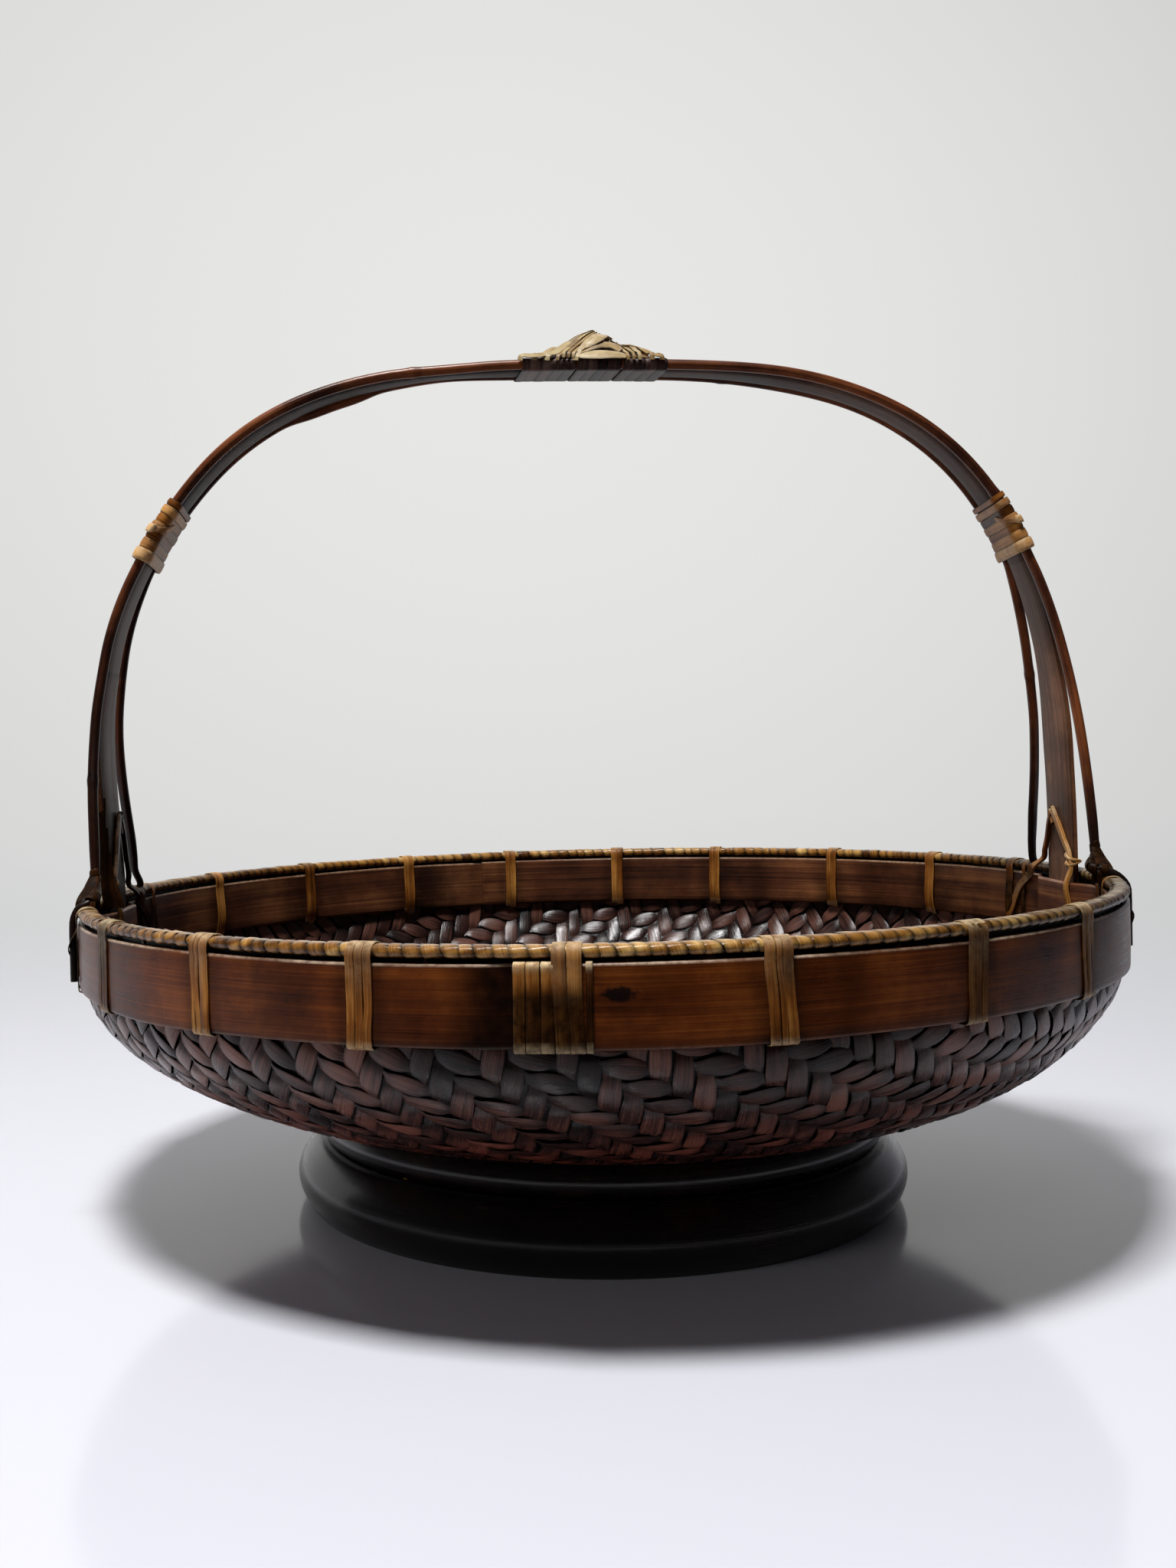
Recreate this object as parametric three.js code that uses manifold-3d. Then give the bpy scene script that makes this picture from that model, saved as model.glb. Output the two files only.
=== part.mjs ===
// A round bamboo offering basket with a tall arched handle, in millimetres, +Z up.
// The origin is on the table under the middle of the foot. The handle stands over the X axis,
// and the front of the basket is towards -Y. Azimuths are degrees round +Z, from +X.
import * as THREE from "three";
import { mergeVertices } from "three/addons/utils/BufferGeometryUtils.js";
import Module from "manifold-3d";

const wasm = await Module();
wasm.setup();

// Clearance between pieces that touch on the real basket
const fit = 0.3;

// Rim hoops: two flat bamboo bands with the woven wall between them
const rimRadius = 210;
const bandThickness = 2.4;
const outerBandBottom = 97;
const outerBandHeight = 25.2;
const innerBandBottom = 99;
const innerBandHeight = 23.4;
const bandEdge = 0.5;
const bandLap = 9;
const outerLapAzimuth = -97.9;
const bandSteps = 60;

// Woven bowl, a superellipse of revolution under an upright wall
const bowlWall = 2;
const bowlDepth = 64;
const bowlSidePower = 3.2;
const bowlFloorPower = 1.6;
const bowlSteps = 10;
const bowlSegments = 64;

// Rim roll: a flat core lapped with cane, on the upper edge of the wall
const rollHalfWidth = 3.4;
const rollHalfHeight = 2.1;
const caneWrapThickness = 0.6;
const rollSlot = 1.2;
const rollSegments = 60;
const rollSides = 8;

// Flat cane of the ties and lashings
const caneWidth = 2.5;
const caneThickness = 0.8;
const canePitch = 3.2;
const tieTurns = 3;
const wideTieTurns = 6;
const wideTieAzimuth = -99.5;
const frontTies = [-150.5, -132.5, -115.5, -81.2, -62.2, -45];
const backTies = [31.1, 48.2, 67, 82.2, 98.9, 115.3, 132, 149.2];

// Foot: two bent hoops, the upper one under the bowl
const footRadius = 121.5;
const footWall = 11;
const lowerFootTaper = 3.5;
const lowerFootBulge = 6.2;
const lowerFootHeight = 25.5;
const upperFootStep = 6.9;
const upperFootTaper = 1;
const upperFootBulge = 3.2;
const footSegments = 48;
const footArcSteps = 6;
const pegRadius = 1.2;
const pegInset = 2.5;
const pegLength = 30;
const pegRecess = 2;
const pegCount = 4;

// Crossed slats under the bowl, wedged inside the foot
const slatWidth = 16;
const slatThickness = 2;
const slatSteps = 12;

// Handle: a flat strip bent to an arch, narrowing towards its crown, with a rod along each edge
const stripWidth = 28;
const shoulderWidth = 19;
const crownWidth = 14;
const stripThickness = 2.8;
const archTop = 343;
const archSpring = 100;
const archSidePower = 3.2;
const archTopPower = 3.3;
const legEnd = 99.2;
const stripDish = 0.7;
const stripSteps = 44;
const legSwellRun = 5;
const rodRadius = 2.1;
const rodSides = 6;
const rodArchSteps = 24;
const rodLegSteps = 8;
const rodFootY = 49;
const rodSplayTop = 262;
const rodSplay = 24;
const rodBendPower = 18;

// Lashings on the handle
const lashGap = 0.7;
const shoulderPitch = 4.3;
const shoulderTurns = 7;
const shoulderHeight = 274;
const crownTurns = 12;
const crownPitch = 4.9;
const knotLength = 57;
const knotWidth = 24;
const knotHeight = 11.3;
const knotEdge = 0.9;
// Share of the half length from the middle, share of the height
const knotRidge = [[-1, 0], [-0.78, 0.26], [-0.65, 0.5], [-0.42, 0.62], [-0.24, 0.88], [-0.02, 1],
  [0.16, 0.87], [0.4, 0.66], [0.55, 0.56], [0.75, 0.38], [1, 0]];
const legLashRise = 38;

// The rim and the handle lean to one side on the level foot
const leanDegrees = 1.3;
const leanPivot = 110;
const leanStart = 45;

// The handle's left leg bows out between the rim and its shoulder
const leftBow = 5.2;
const leftBowFoot = 128;
const leftBowFull = 205;
const leftBowTop = 225;
const leftBowEnd = 300;

// Worked-out places
const outerBandTop = outerBandBottom + outerBandHeight;
const innerBandTop = innerBandBottom + innerBandHeight;
const wallOuter = rimRadius - bandThickness - fit;
const wallInner = wallOuter - bowlWall;
const wallMiddle = (wallOuter + wallInner) / 2;
const innerBandOuter = wallInner - fit;
const innerBandInner = innerBandOuter - bandThickness;
const rollBottom = Math.max(outerBandTop, innerBandTop) + fit + 0.4;
const rollCentre = rollBottom + rollHalfHeight;
const wallTop = rollBottom - fit;
const rodKnee = rollCentre + rollHalfHeight + 1;
const footInner = footRadius - footWall;
const pegCentre = footInner + pegInset;
const upperFootRadius = footRadius - upperFootStep;
const upperFootBottom = lowerFootHeight + fit;
const upperFootTop = bowlHeight(footInner) - fit;
const caneReach = fit + caneThickness / 2;
const facetSag = rimRadius * (1 - Math.cos(Math.PI / rollSegments));
const tieOuter = rimRadius + caneReach;
const tieInner = innerBandInner - facetSag - caneReach;
const tieTop = rollCentre + rollHalfHeight + caneReach;
const tieUnder = outerBandBottom - caneReach;
const rollInner = wallMiddle - rollHalfWidth - facetSag;
const stripReach = Math.sqrt(rollInner ** 2 - (stripWidth / 2) ** 2) - fit;
const archHalfSpan = stripReach - stripThickness / 2;
const legAngle = THREE.MathUtils.radToDeg((stripWidth / 2 + fit) / stripReach);
const rodFootX = Math.sqrt((rimRadius + fit + rodRadius) ** 2 - rodFootY ** 2);

const bambooHoney = { color: 0x7a4218, roughness: 0.35 };
const bambooRed = { color: 0x62301a, roughness: 0.4 };
const bambooDark = { color: 0x33190f, roughness: 0.35 };
const weaveBrown = { color: 0x5a4038, roughness: 0.45 };
const footBlack = { color: 0x1c120e, roughness: 0.25 };
const cane = { color: 0xb08448, roughness: 0.5 };
const paleCane = { color: 0xcfae72, roughness: 0.5 };

const radians = THREE.MathUtils.degToRad;
const clamp = THREE.MathUtils.clamp;
const smooth = (value, low, high) => THREE.MathUtils.smoothstep(value, low, high);

function polar(azimuth, radius, height) {
  const angle = radians(azimuth);
  return new THREE.Vector3(radius * Math.cos(angle), radius * Math.sin(angle), height);
}

// The set of the basket: heights above the bowl's lower half turn a little about the Y axis.
function lean(point) {
  if (point.x < 0) {
    const bowed = smooth(point.z, leftBowFoot, leftBowFull);
    point.x -= leftBow * bowed * (1 - smooth(point.z, leftBowTop, leftBowEnd));
  }
  const angle = radians(leanDegrees) * smooth(point.z, leanStart, outerBandBottom);
  const rise = point.z - leanPivot;
  const x = point.x * Math.cos(angle) - rise * Math.sin(angle);
  const z = leanPivot + point.x * Math.sin(angle) + rise * Math.cos(angle);
  return point.set(x, point.y, z);
}

function facingOut(geometry) {
  const position = geometry.attributes.position;
  const index = geometry.index.array;
  const [a, b, c] = [new THREE.Vector3(), new THREE.Vector3(), new THREE.Vector3()];
  let volume = 0;
  for (let i = 0; i < index.length; i += 3) {
    a.fromBufferAttribute(position, index[i]);
    b.fromBufferAttribute(position, index[i + 1]);
    c.fromBufferAttribute(position, index[i + 2]);
    volume += a.dot(b.cross(c));
  }
  if (volume < 0) {
    for (let i = 0; i < index.length; i += 3) {
      [index[i], index[i + 1]] = [index[i + 1], index[i]];
    }
  }
  return geometry;
}

function geometryFrom(points, triangles) {
  const geometry = new THREE.BufferGeometry();
  const flat = points.flatMap((point) => point.toArray());
  geometry.setAttribute("position", new THREE.Float32BufferAttribute(flat, 3));
  geometry.setIndex(triangles);
  return facingOut(geometry);
}

// One closed body through a row of rings, each with the same number of points.
function skin(rings, closed = false) {
  const sides = rings[0].length;
  const triangles = [];
  const spans = closed ? rings.length : rings.length - 1;
  for (let i = 0; i < spans; i += 1) {
    const here = i * sides;
    const next = ((i + 1) % rings.length) * sides;
    for (let j = 0; j < sides; j += 1) {
      const k = (j + 1) % sides;
      triangles.push(here + j, next + j, next + k, here + j, next + k, here + k);
    }
  }
  if (!closed) {
    const last = (rings.length - 1) * sides;
    for (let j = 1; j < sides - 1; j += 1) {
      triangles.push(0, j, j + 1, last, last + j + 1, last + j);
    }
  }
  return geometryFrom(rings.flat(), triangles);
}

function welded(geometry) {
  const bare = new THREE.BufferGeometry();
  bare.setAttribute("position", geometry.attributes.position.clone());
  if (geometry.index) bare.setIndex(geometry.index.clone());
  const merged = mergeVertices(bare, 1e-3);
  const index = merged.index.array;
  const kept = [];
  for (let i = 0; i < index.length; i += 3) {
    const [a, b, c] = [index[i], index[i + 1], index[i + 2]];
    if (a !== b && b !== c && c !== a) kept.push(a, b, c);
  }
  merged.setIndex(kept);
  return facingOut(merged);
}

function toSolid(geometry) {
  const vertProperties = new Float32Array(geometry.attributes.position.array);
  const triVerts = new Uint32Array(geometry.index.array);
  return new wasm.Manifold(new wasm.Mesh({ numProp: 3, vertProperties, triVerts }));
}

function cut(geometry, cutters) {
  let solid = toSolid(welded(geometry));
  for (const cutter of cutters) {
    solid = solid.subtract(toSolid(welded(cutter)));
  }
  const mesh = solid.getMesh();
  const result = new THREE.BufferGeometry();
  result.setAttribute("position", new THREE.BufferAttribute(mesh.vertProperties, 3));
  result.setIndex(new THREE.BufferAttribute(mesh.triVerts, 1));
  return result;
}

// A body of revolution about +Z from a profile of [radius, height] pairs.
function revolve(profile, segments) {
  const points = profile.map(([radius, height]) => new THREE.Vector2(radius, height));
  return welded(new THREE.LatheGeometry(points, segments).rotateX(Math.PI / 2));
}

// Height of the bowl's outer face at a radius, below the rim bands.
function bowlHeight(radius) {
  const share = 1 - (radius / wallOuter) ** bowlSidePower;
  return outerBandBottom - bowlDepth * share ** (1 / bowlFloorPower);
}

// Outer face of the bowl as [radius, height], from the middle of the floor to the rim.
function bowlPoint(angle) {
  const radius = wallOuter * Math.sin(angle) ** (2 / bowlSidePower);
  const height = outerBandBottom - bowlDepth * Math.cos(angle) ** (2 / bowlFloorPower);
  return [radius, height];
}

function bowlProfile() {
  const outer = [];
  const inner = [];
  const nudge = 1e-3;
  for (let i = 0; i <= bowlSteps; i += 1) {
    const angle = (i / bowlSteps) * (Math.PI / 2);
    const [radius, height] = bowlPoint(angle);
    const before = bowlPoint(Math.max(angle - nudge, 0));
    const after = bowlPoint(Math.min(angle + nudge, Math.PI / 2));
    const along = new THREE.Vector2(after[0] - before[0], after[1] - before[1]).normalize();
    outer.push([radius, height]);
    const x = i === 0 ? 0 : radius - bowlWall * along.y;
    const y = i === 0 ? height + bowlWall : height + bowlWall * along.x;
    inner.push([x, y]);
  }
  outer.push([wallOuter, wallTop]);
  inner.push([wallInner, wallTop]);
  return [...outer, ...inner.reverse()];
}

// A tangential slot through the wall for the cane of one tie.
function wallSlot(azimuth, from, to) {
  const side = 0.6 + caneWidth / 2;
  const height = 3 * caneThickness;
  const box = new THREE.BoxGeometry(6 * bowlWall, to - from + 2 * side, height);
  box.translate(wallMiddle, (from + to) / 2, tieUnder + 0.3);
  return box.rotateZ(radians(azimuth));
}

// A bent band whose two ends are thinned and lapped over each other at lapAzimuth. The outer end
// points towards lower azimuths.
// inward(azimuth) pushes it towards the middle, where it goes round a handle leg.
function hoop({ inner, outer, bottom, top, lapAzimuth, inward = () => 0, extra = [] }) {
  const rings = [];
  const turn = 360 + bandLap;
  const ramp = bandLap / 3;
  const half = (outer - inner - fit) / 2;
  const start = lapAzimuth + bandLap / 2;
  const stations = Array.from({ length: bandSteps + 1 }, (_, i) => (turn * i) / bandSteps);
  stations.push(...extra.map((azimuth) => (((start - azimuth) % 360) + 360) % 360));
  stations.sort((a, b) => a - b);
  for (const along of stations) {
    const azimuth = start - along;
    const startThin = 1 - smooth(along, bandLap, bandLap + ramp);
    const endThin = smooth(along, 360 - ramp, 360);
    const shift = inward(azimuth);
    const high = outer - shift - startThin * (half + fit);
    const low = inner - shift + endThin * (half + fit);
    const section = [
      [low, bottom],
      [high - bandEdge, bottom],
      [high, bottom + bandEdge],
      [high, top - bandEdge],
      [high - bandEdge, top],
      [low, top],
    ];
    rings.push(section.map(([radius, height]) => polar(azimuth, radius, height)));
  }
  return skin(rings);
}

// The inner band swells inwards to make room for the two handle legs.
function legSwell(azimuth) {
  const away = Math.abs(((azimuth % 180) + 270) % 180 - 90);
  const depth = innerBandOuter - (stripReach - stripThickness - stripDish - fit);
  return depth * (1 - smooth(away, legAngle, legAngle + legSwellRun));
}

function rimCore() {
  const inscribed = Math.cos(Math.PI / rollSides);
  const width = (rollHalfWidth - caneWrapThickness) * inscribed - fit;
  const height = (rollHalfHeight - caneWrapThickness) * inscribed - fit;
  const rings = [];
  for (let i = 0; i < rollSegments; i += 1) {
    const ring = [];
    for (let j = 0; j < 6; j += 1) {
      const angle = (j / 6) * 2 * Math.PI;
      const radius = wallMiddle + width * Math.cos(angle);
      ring.push(polar((360 * i) / rollSegments, radius, rollCentre + height * Math.sin(angle)));
    }
    rings.push(ring);
  }
  return skin(rings, true);
}

// The cane lapping of the rim, open underneath where it sits on the wall.
function rimWrap() {
  const opening = Math.asin(rollSlot / 2 / rollHalfWidth);
  const steps = rollSides;
  const outer = [];
  const inner = [];
  for (let i = 0; i <= steps; i += 1) {
    const angle = -Math.PI / 2 + opening + ((2 * Math.PI - 2 * opening) * i) / steps;
    const [across, up] = [Math.cos(angle), Math.sin(angle)];
    outer.push([wallMiddle + rollHalfWidth * across, rollCentre + rollHalfHeight * up]);
    inner.push([
      wallMiddle + (rollHalfWidth - caneWrapThickness) * across,
      rollCentre + (rollHalfHeight - caneWrapThickness) * up,
    ]);
  }
  const profile = [...outer, ...inner.reverse()];
  profile.push(profile[0]);
  return revolve(profile, rollSegments);
}

function footRing({ bottom, height, baseRadius, topRadius, bulge }) {
  const profile = [[footInner, bottom]];
  for (let i = 0; i <= footArcSteps; i += 1) {
    const share = i / footArcSteps;
    const straight = baseRadius + (topRadius - baseRadius) * share;
    profile.push([straight + bulge * Math.sin(Math.PI * share), bottom + height * share]);
  }
  profile.push([footInner, bottom + height], [footInner, bottom]);
  return cut(revolve(profile, footSegments), pegs(pegRadius + fit, fit, -1));
}

// The upright pegs, or the holes that hold them.
function pegs(radius, extra, bottom = pegRecess) {
  const top = pegRecess + pegLength + extra;
  const list = [];
  for (let i = 0; i < pegCount; i += 1) {
    const peg = new THREE.CylinderGeometry(radius, radius, top - bottom, 8);
    peg.rotateX(Math.PI / 2);
    const place = polar(45 + (360 / pegCount) * i, pegCentre, (top + bottom) / 2);
    list.push(peg.translate(place.x, place.y, place.z));
  }
  return list;
}

// A slat that follows the floor of the bowl from one side of the foot to the other.
function slat(alongY, drop) {
  const reach = Math.sqrt((footInner - fit) ** 2 - (slatWidth / 2) ** 2);
  const rings = [];
  for (let i = 0; i <= slatSteps; i += 1) {
    const along = reach * ((2 * i) / slatSteps - 1);
    const top = bowlHeight(Math.abs(along)) - fit - drop;
    const corners = [[-1, 0], [1, 0], [1, 1], [-1, 1]];
    rings.push(corners.map(([side, low]) => {
      const across = (side * slatWidth) / 2;
      const height = top - low * slatThickness;
      return alongY
        ? new THREE.Vector3(across, along, height)
        : new THREE.Vector3(along, across, height);
    }));
  }
  return skin(rings);
}

// Half the strip's width at a height: it tapers above the legs and again to the crown.
function stripHalf(height) {
  const legTop = archSpring + 0.31 * (archTop - archSpring);
  const shoulder = archSpring + 0.52 * (archTop - archSpring);
  const crownFoot = archSpring + 0.89 * (archTop - archSpring);
  const upper = shoulderWidth + (crownWidth - shoulderWidth) * smooth(height, crownFoot, archTop);
  return (stripWidth + (upper - stripWidth) * smooth(height, legTop, shoulder)) / 2;
}

// Middle line of the handle strip: a superellipse arch on two upright legs.
const archCurve = (() => {
  const points = [];
  const steps = 80;
  for (let i = 0; i <= steps; i += 1) {
    const angle = (Math.PI * i) / steps;
    const across = Math.sign(Math.cos(angle)) * Math.abs(Math.cos(angle)) ** (2 / archSidePower);
    const up = Math.sin(angle) ** (2 / archTopPower);
    const rise = archTop - stripThickness / 2 - archSpring;
    points.push(new THREE.Vector3(archHalfSpan * across, 0, archSpring + rise * up));
  }
  points.unshift(new THREE.Vector3(archHalfSpan, 0, legEnd));
  points.push(new THREE.Vector3(-archHalfSpan, 0, legEnd));
  const curve = new THREE.CatmullRomCurve3(points, false, "centripetal");
  curve.arcLengthDivisions = 900;
  return curve;
})();
const archLength = archCurve.getLength();

// Place and outward normal on the arch at a distance from its right-hand end.
function archAt(distance) {
  const share = clamp(distance / archLength, 0, 1);
  const point = archCurve.getPointAt(share);
  const tangent = archCurve.getTangentAt(share);
  return { point, normal: new THREE.Vector3(tangent.z, 0, -tangent.x) };
}

function distanceAtHeight(height) {
  let low = 0;
  let high = archLength / 2;
  for (let i = 0; i < 40; i += 1) {
    const middle = (low + high) / 2;
    if (archAt(middle).point.z < height) low = middle;
    else high = middle;
  }
  return low;
}

function handleStrip() {
  const rings = [];
  const thick = stripThickness / 2;
  const section = [
    [thick, -1],
    [thick + 0.1, 0],
    [thick, 1],
    [-thick, 1],
    [-thick - stripDish, 0.55],
    [-thick - stripDish, -0.55],
    [-thick, -1],
  ];
  for (let i = 0; i <= stripSteps; i += 1) {
    const { point, normal } = archAt((archLength * i) / stripSteps);
    const half = stripHalf(point.z);
    rings.push(section.map(([out, across]) => {
      return point.clone().addScaledVector(normal, out).setY(across * half);
    }));
  }
  return skin(rings);
}

// Distance of the rods from the middle plane: beside the strip, then spread towards the rim.
function rodAcross(height) {
  const share = clamp((rodSplayTop - height) / (rodSplayTop - rodKnee), 0, 1);
  const beside = stripHalf(Math.max(height, rodSplayTop)) + fit + rodRadius;
  return beside + rodSplay * share + (rodFootY - rodSplay - beside) * share ** rodBendPower;
}

// One rod: beside the strip over the arch, then spread and outside the rim band.
function rodPoint(distance, side) {
  const { point } = archAt(distance);
  const share = clamp((rodSplayTop - point.z) / (rodSplayTop - rodKnee), 0, 1);
  point.x += Math.sign(point.x) * (rodFootX - archHalfSpan) * share ** rodBendPower;
  point.y = side * rodAcross(point.z);
  return point;
}

function rod(side) {
  const leg = [0, 1.5];
  for (let i = 0; i < rodLegSteps; i += 1) {
    const share = (i / rodLegSteps) ** 1.5;
    leg.push(distanceAtHeight(rodKnee + (rodSplayTop - rodKnee) * share));
  }
  const top = distanceAtHeight(rodSplayTop);
  const distances = [...leg];
  for (let i = 0; i <= rodArchSteps; i += 1) {
    distances.push(top + ((archLength - 2 * top) * i) / rodArchSteps);
  }
  distances.push(...leg.reverse().map((distance) => archLength - distance));
  const places = distances.map((distance) => rodPoint(distance, side));
  const rings = places.map((point, i) => {
    const before = places[Math.max(i - 1, 0)];
    const after = places[Math.min(i + 1, places.length - 1)];
    const tangent = after.clone().sub(before).normalize();
    const across = new THREE.Vector3(0, 1, 0).addScaledVector(tangent, -tangent.y).normalize();
    const out = new THREE.Vector3().crossVectors(across, tangent);
    const atEnd = i === 0 || i === places.length - 1;
    const radius = atEnd ? rodRadius * 0.75 : rodRadius;
    const ring = [];
    for (let j = 0; j < rodSides; j += 1) {
      const angle = ((j + 0.5) / rodSides) * 2 * Math.PI;
      const offset = out.clone().multiplyScalar(radius * Math.cos(angle));
      ring.push(point.clone().add(offset).addScaledVector(across, radius * Math.sin(angle)));
    }
    return ring;
  });
  return skin(rings);
}

// Rings of flat cane along a row of points, with its width along widthAt(point, number).
function caneStrand(points, width, widthAt) {
  return points.map((point, i) => {
    const before = points[Math.max(i - 1, 0)];
    const after = points[Math.min(i + 1, points.length - 1)];
    const tangent = after.clone().sub(before).normalize();
    const across = widthAt(point, i);
    across.addScaledVector(tangent, -across.dot(tangent)).normalize();
    const out = new THREE.Vector3().crossVectors(tangent, across);
    const corners = [[-1, -1], [1, -1], [1, 1], [-1, 1]];
    return corners.map(([w, t]) => point.clone()
      .addScaledVector(across, (w * width) / 2)
      .addScaledVector(out, (t * caneThickness) / 2));
  });
}

// Least distance between the edges of different turns of a winding.
const leastGaps = {};
function windingSolid(name, rings, turnSteps) {
  let least = Infinity;
  const edges = rings.map((ring) => ring.flatMap((corner, j) => {
    return [corner, corner.clone().lerp(ring[(j + 1) % ring.length], 0.5)];
  }));
  for (let i = 0; i < edges.length; i += 1) {
    for (let k = i + Math.ceil(turnSteps / 2); k < edges.length; k += 1) {
      for (const a of edges[i]) {
        for (const b of edges[k]) least = Math.min(least, a.distanceTo(b));
      }
    }
  }
  leastGaps[name] = least;
  return skin(rings);
}

const tangentAt = (point) => new THREE.Vector3(-point.y, point.x, 0).normalize();

// One tie: up the outside, over the rim roll, down the inside and back through the wall.
// passes lists [offset going up, offset going over]; bulge clears a rod that a pass crosses.
function tieGeometry(name, azimuth, passes, bulge = 0) {
  const turn = (offset) => azimuth + THREE.MathUtils.radToDeg(offset / rimRadius);
  const place = (offset, radius, height) => polar(turn(offset), radius, height);
  const points = [];
  let last = passes[0][0] - canePitch;
  points.push(place(last, tieInner, innerBandBottom + 8));
  for (const [up, over] of passes) {
    const shift = (share) => last + (up - last) * share;
    points.push(place(shift(0.5), tieInner, innerBandBottom - 0.1));
    points.push(place(shift(0.6), tieInner + 1.1, tieUnder + 1.1));
    points.push(place(shift(0.75), wallMiddle, tieUnder + 0.1));
    points.push(place(shift(0.9), tieOuter - 0.9, tieUnder));
    points.push(place(up, tieOuter, tieUnder + 0.9));
    if (bulge > 0 && up !== over) {
      const heights = [0.55, 0.36, 0.16].map((share) => outerBandTop - share * outerBandHeight);
      points.push(place(up, tieOuter, outerBandTop - 0.71 * outerBandHeight));
      points.push(place(up * 0.8, tieOuter + bulge, heights[0]));
      points.push(place((up + over) / 2, tieOuter + bulge, heights[1]));
      points.push(place(over * 0.8, tieOuter + bulge, heights[2]));
    }
    points.push(place(over, tieOuter, outerBandTop));
    points.push(place(over, tieOuter, rollCentre));
    points.push(place(over, wallMiddle + rollHalfWidth * 0.6, tieTop));
    points.push(place(over, wallMiddle - rollHalfWidth * 0.6, tieTop));
    points.push(place(over, tieInner, rollCentre));
    last = over;
  }
  points.push(place(last, tieInner, innerBandBottom + 8));
  const rings = caneStrand(points, caneWidth, tangentAt);
  return windingSolid(name, rings, 10);
}

function spread(turns, pitch) {
  return Array.from({ length: turns }, (_, i) => (i - (turns - 1) / 2) * pitch);
}

// Cane wound round the strip and both rods, about a place on the arch.
function handleLashing(name, middle, turns, pitch) {
  const halfThick = rodRadius + caneReach;
  const corner = 1.2;
  const reach = [
    [halfThick, -1, corner],
    [halfThick, 1, corner],
    [halfThick - corner, 1, 0],
    [-halfThick + corner, 1, 0],
    [-halfThick, 1, corner],
    [-halfThick, -1, corner],
    [-halfThick + corner, -1, 0],
    [halfThick - corner, -1, 0],
  ];
  const loop = [];
  const steps = turns * reach.length;
  for (let i = 0; i <= steps; i += 1) {
    const distance = middle + pitch * (i / reach.length - turns / 2);
    const { point, normal } = archAt(distance);
    const [out, side, inset] = reach[i % reach.length];
    const halfAcross = rodAcross(point.z) + rodRadius + caneReach;
    loop.push(point.clone().addScaledVector(normal, out).setY(side * (halfAcross - inset)));
  }
  const width = pitch - lashGap;
  const rings = caneStrand(loop, width, (point, i) => {
    const { normal } = archAt(middle + pitch * (i / reach.length - turns / 2));
    return new THREE.Vector3(-normal.z, 0, normal.x);
  });
  return windingSolid(name, rings, reach.length);
}

// The decorative knot on the crown: a tent with an uneven ridge along the handle.
function crownKnot() {
  const base = archTop - stripThickness / 2 + rodRadius + 2 * caneReach + fit;
  const rings = knotRidge.map(([along, rise]) => {
    const place = (across, up) => {
      return new THREE.Vector3((along * knotLength) / 2, (across * knotWidth) / 2, base + up);
    };
    const roof = [-1, -0.85, -0.6, -0.3, 0, 0.3, 0.6, 0.85, 1].map((across) => {
      const slope = 1 - Math.abs(across) ** 1.35;
      return place(across, knotEdge + (knotHeight - knotEdge) * rise * slope);
    });
    return [...roof, place(1, 0), place(-1, 0)];
  });
  return skin(rings);
}

// The cane that ties a leg down: from the inner band up over the strip and back to the band.
function legLashing(side) {
  const bandFace = (azimuth) => innerBandInner - legSwell(azimuth);
  const onBand = (azimuth, clear, height) => {
    return polar(azimuth, bandFace(azimuth) - facetSag - clear, height);
  };
  const onStrip = (across, rise) => {
    const { point } = archAt(distanceAtHeight(innerBandTop + rise * legLashRise));
    const reach = point.x - stripThickness / 2 - stripDish - caneReach - 0.1;
    return new THREE.Vector3(reach, (across * stripWidth) / 2, point.z);
  };
  const points = [
    onBand(-legAngle - 1, caneReach + 0.5, innerBandBottom + 1),
    onBand(-legAngle - 1, caneReach + 0.5, innerBandTop - 1),
    onStrip(-1.05, 0.18),
    onStrip(-0.8, 0.53),
    onStrip(0.4, 0.9),
    onStrip(0.95, 1),
    onStrip(1.12, 0.79),
    onStrip(1.3, 0.37),
    onBand(11, caneReach + 1.9, innerBandTop - 1),
    onBand(16.5, caneReach + 1.9, innerBandBottom + 10),
    onBand(19.5, caneReach + 0.3, innerBandBottom + 2),
  ];
  const rings = caneStrand(points, caneWidth * 0.8, tangentAt);
  const solid = skin(rings);
  return side > 0 ? solid : facingOut(solid.scale(-1, 1, 1));
}

const basket = new THREE.Group();
basket.name = "offering_basket";

function add(name, geometry, look, level = false) {
  const position = geometry.attributes.position;
  const point = new THREE.Vector3();
  for (let i = 0; i < position.count && !level; i += 1) {
    lean(point.fromBufferAttribute(position, i));
    position.setXYZ(i, point.x, point.y, point.z);
  }
  geometry.computeVertexNormals();
  const mesh = new THREE.Mesh(geometry, new THREE.MeshStandardMaterial({ metalness: 0, ...look }));
  mesh.name = name;
  basket.add(mesh);
}

// Foot
add("foot_ring_lower", footRing({
  bottom: 0,
  height: lowerFootHeight,
  baseRadius: footRadius,
  topRadius: footRadius - lowerFootTaper,
  bulge: lowerFootBulge,
}), footBlack, true);
add("foot_ring_upper", footRing({
  bottom: upperFootBottom,
  height: upperFootTop - upperFootBottom,
  baseRadius: upperFootRadius,
  topRadius: upperFootRadius - upperFootTaper,
  bulge: upperFootBulge,
}), footBlack, true);
pegs(pegRadius, 0).forEach((peg, i) => add(`foot_peg_${i + 1}`, welded(peg), bambooHoney, true));
add("base_slat_across", slat(false, 0), bambooDark, true);
add("base_slat_along", slat(true, slatThickness + fit), bambooDark, true);

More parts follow.
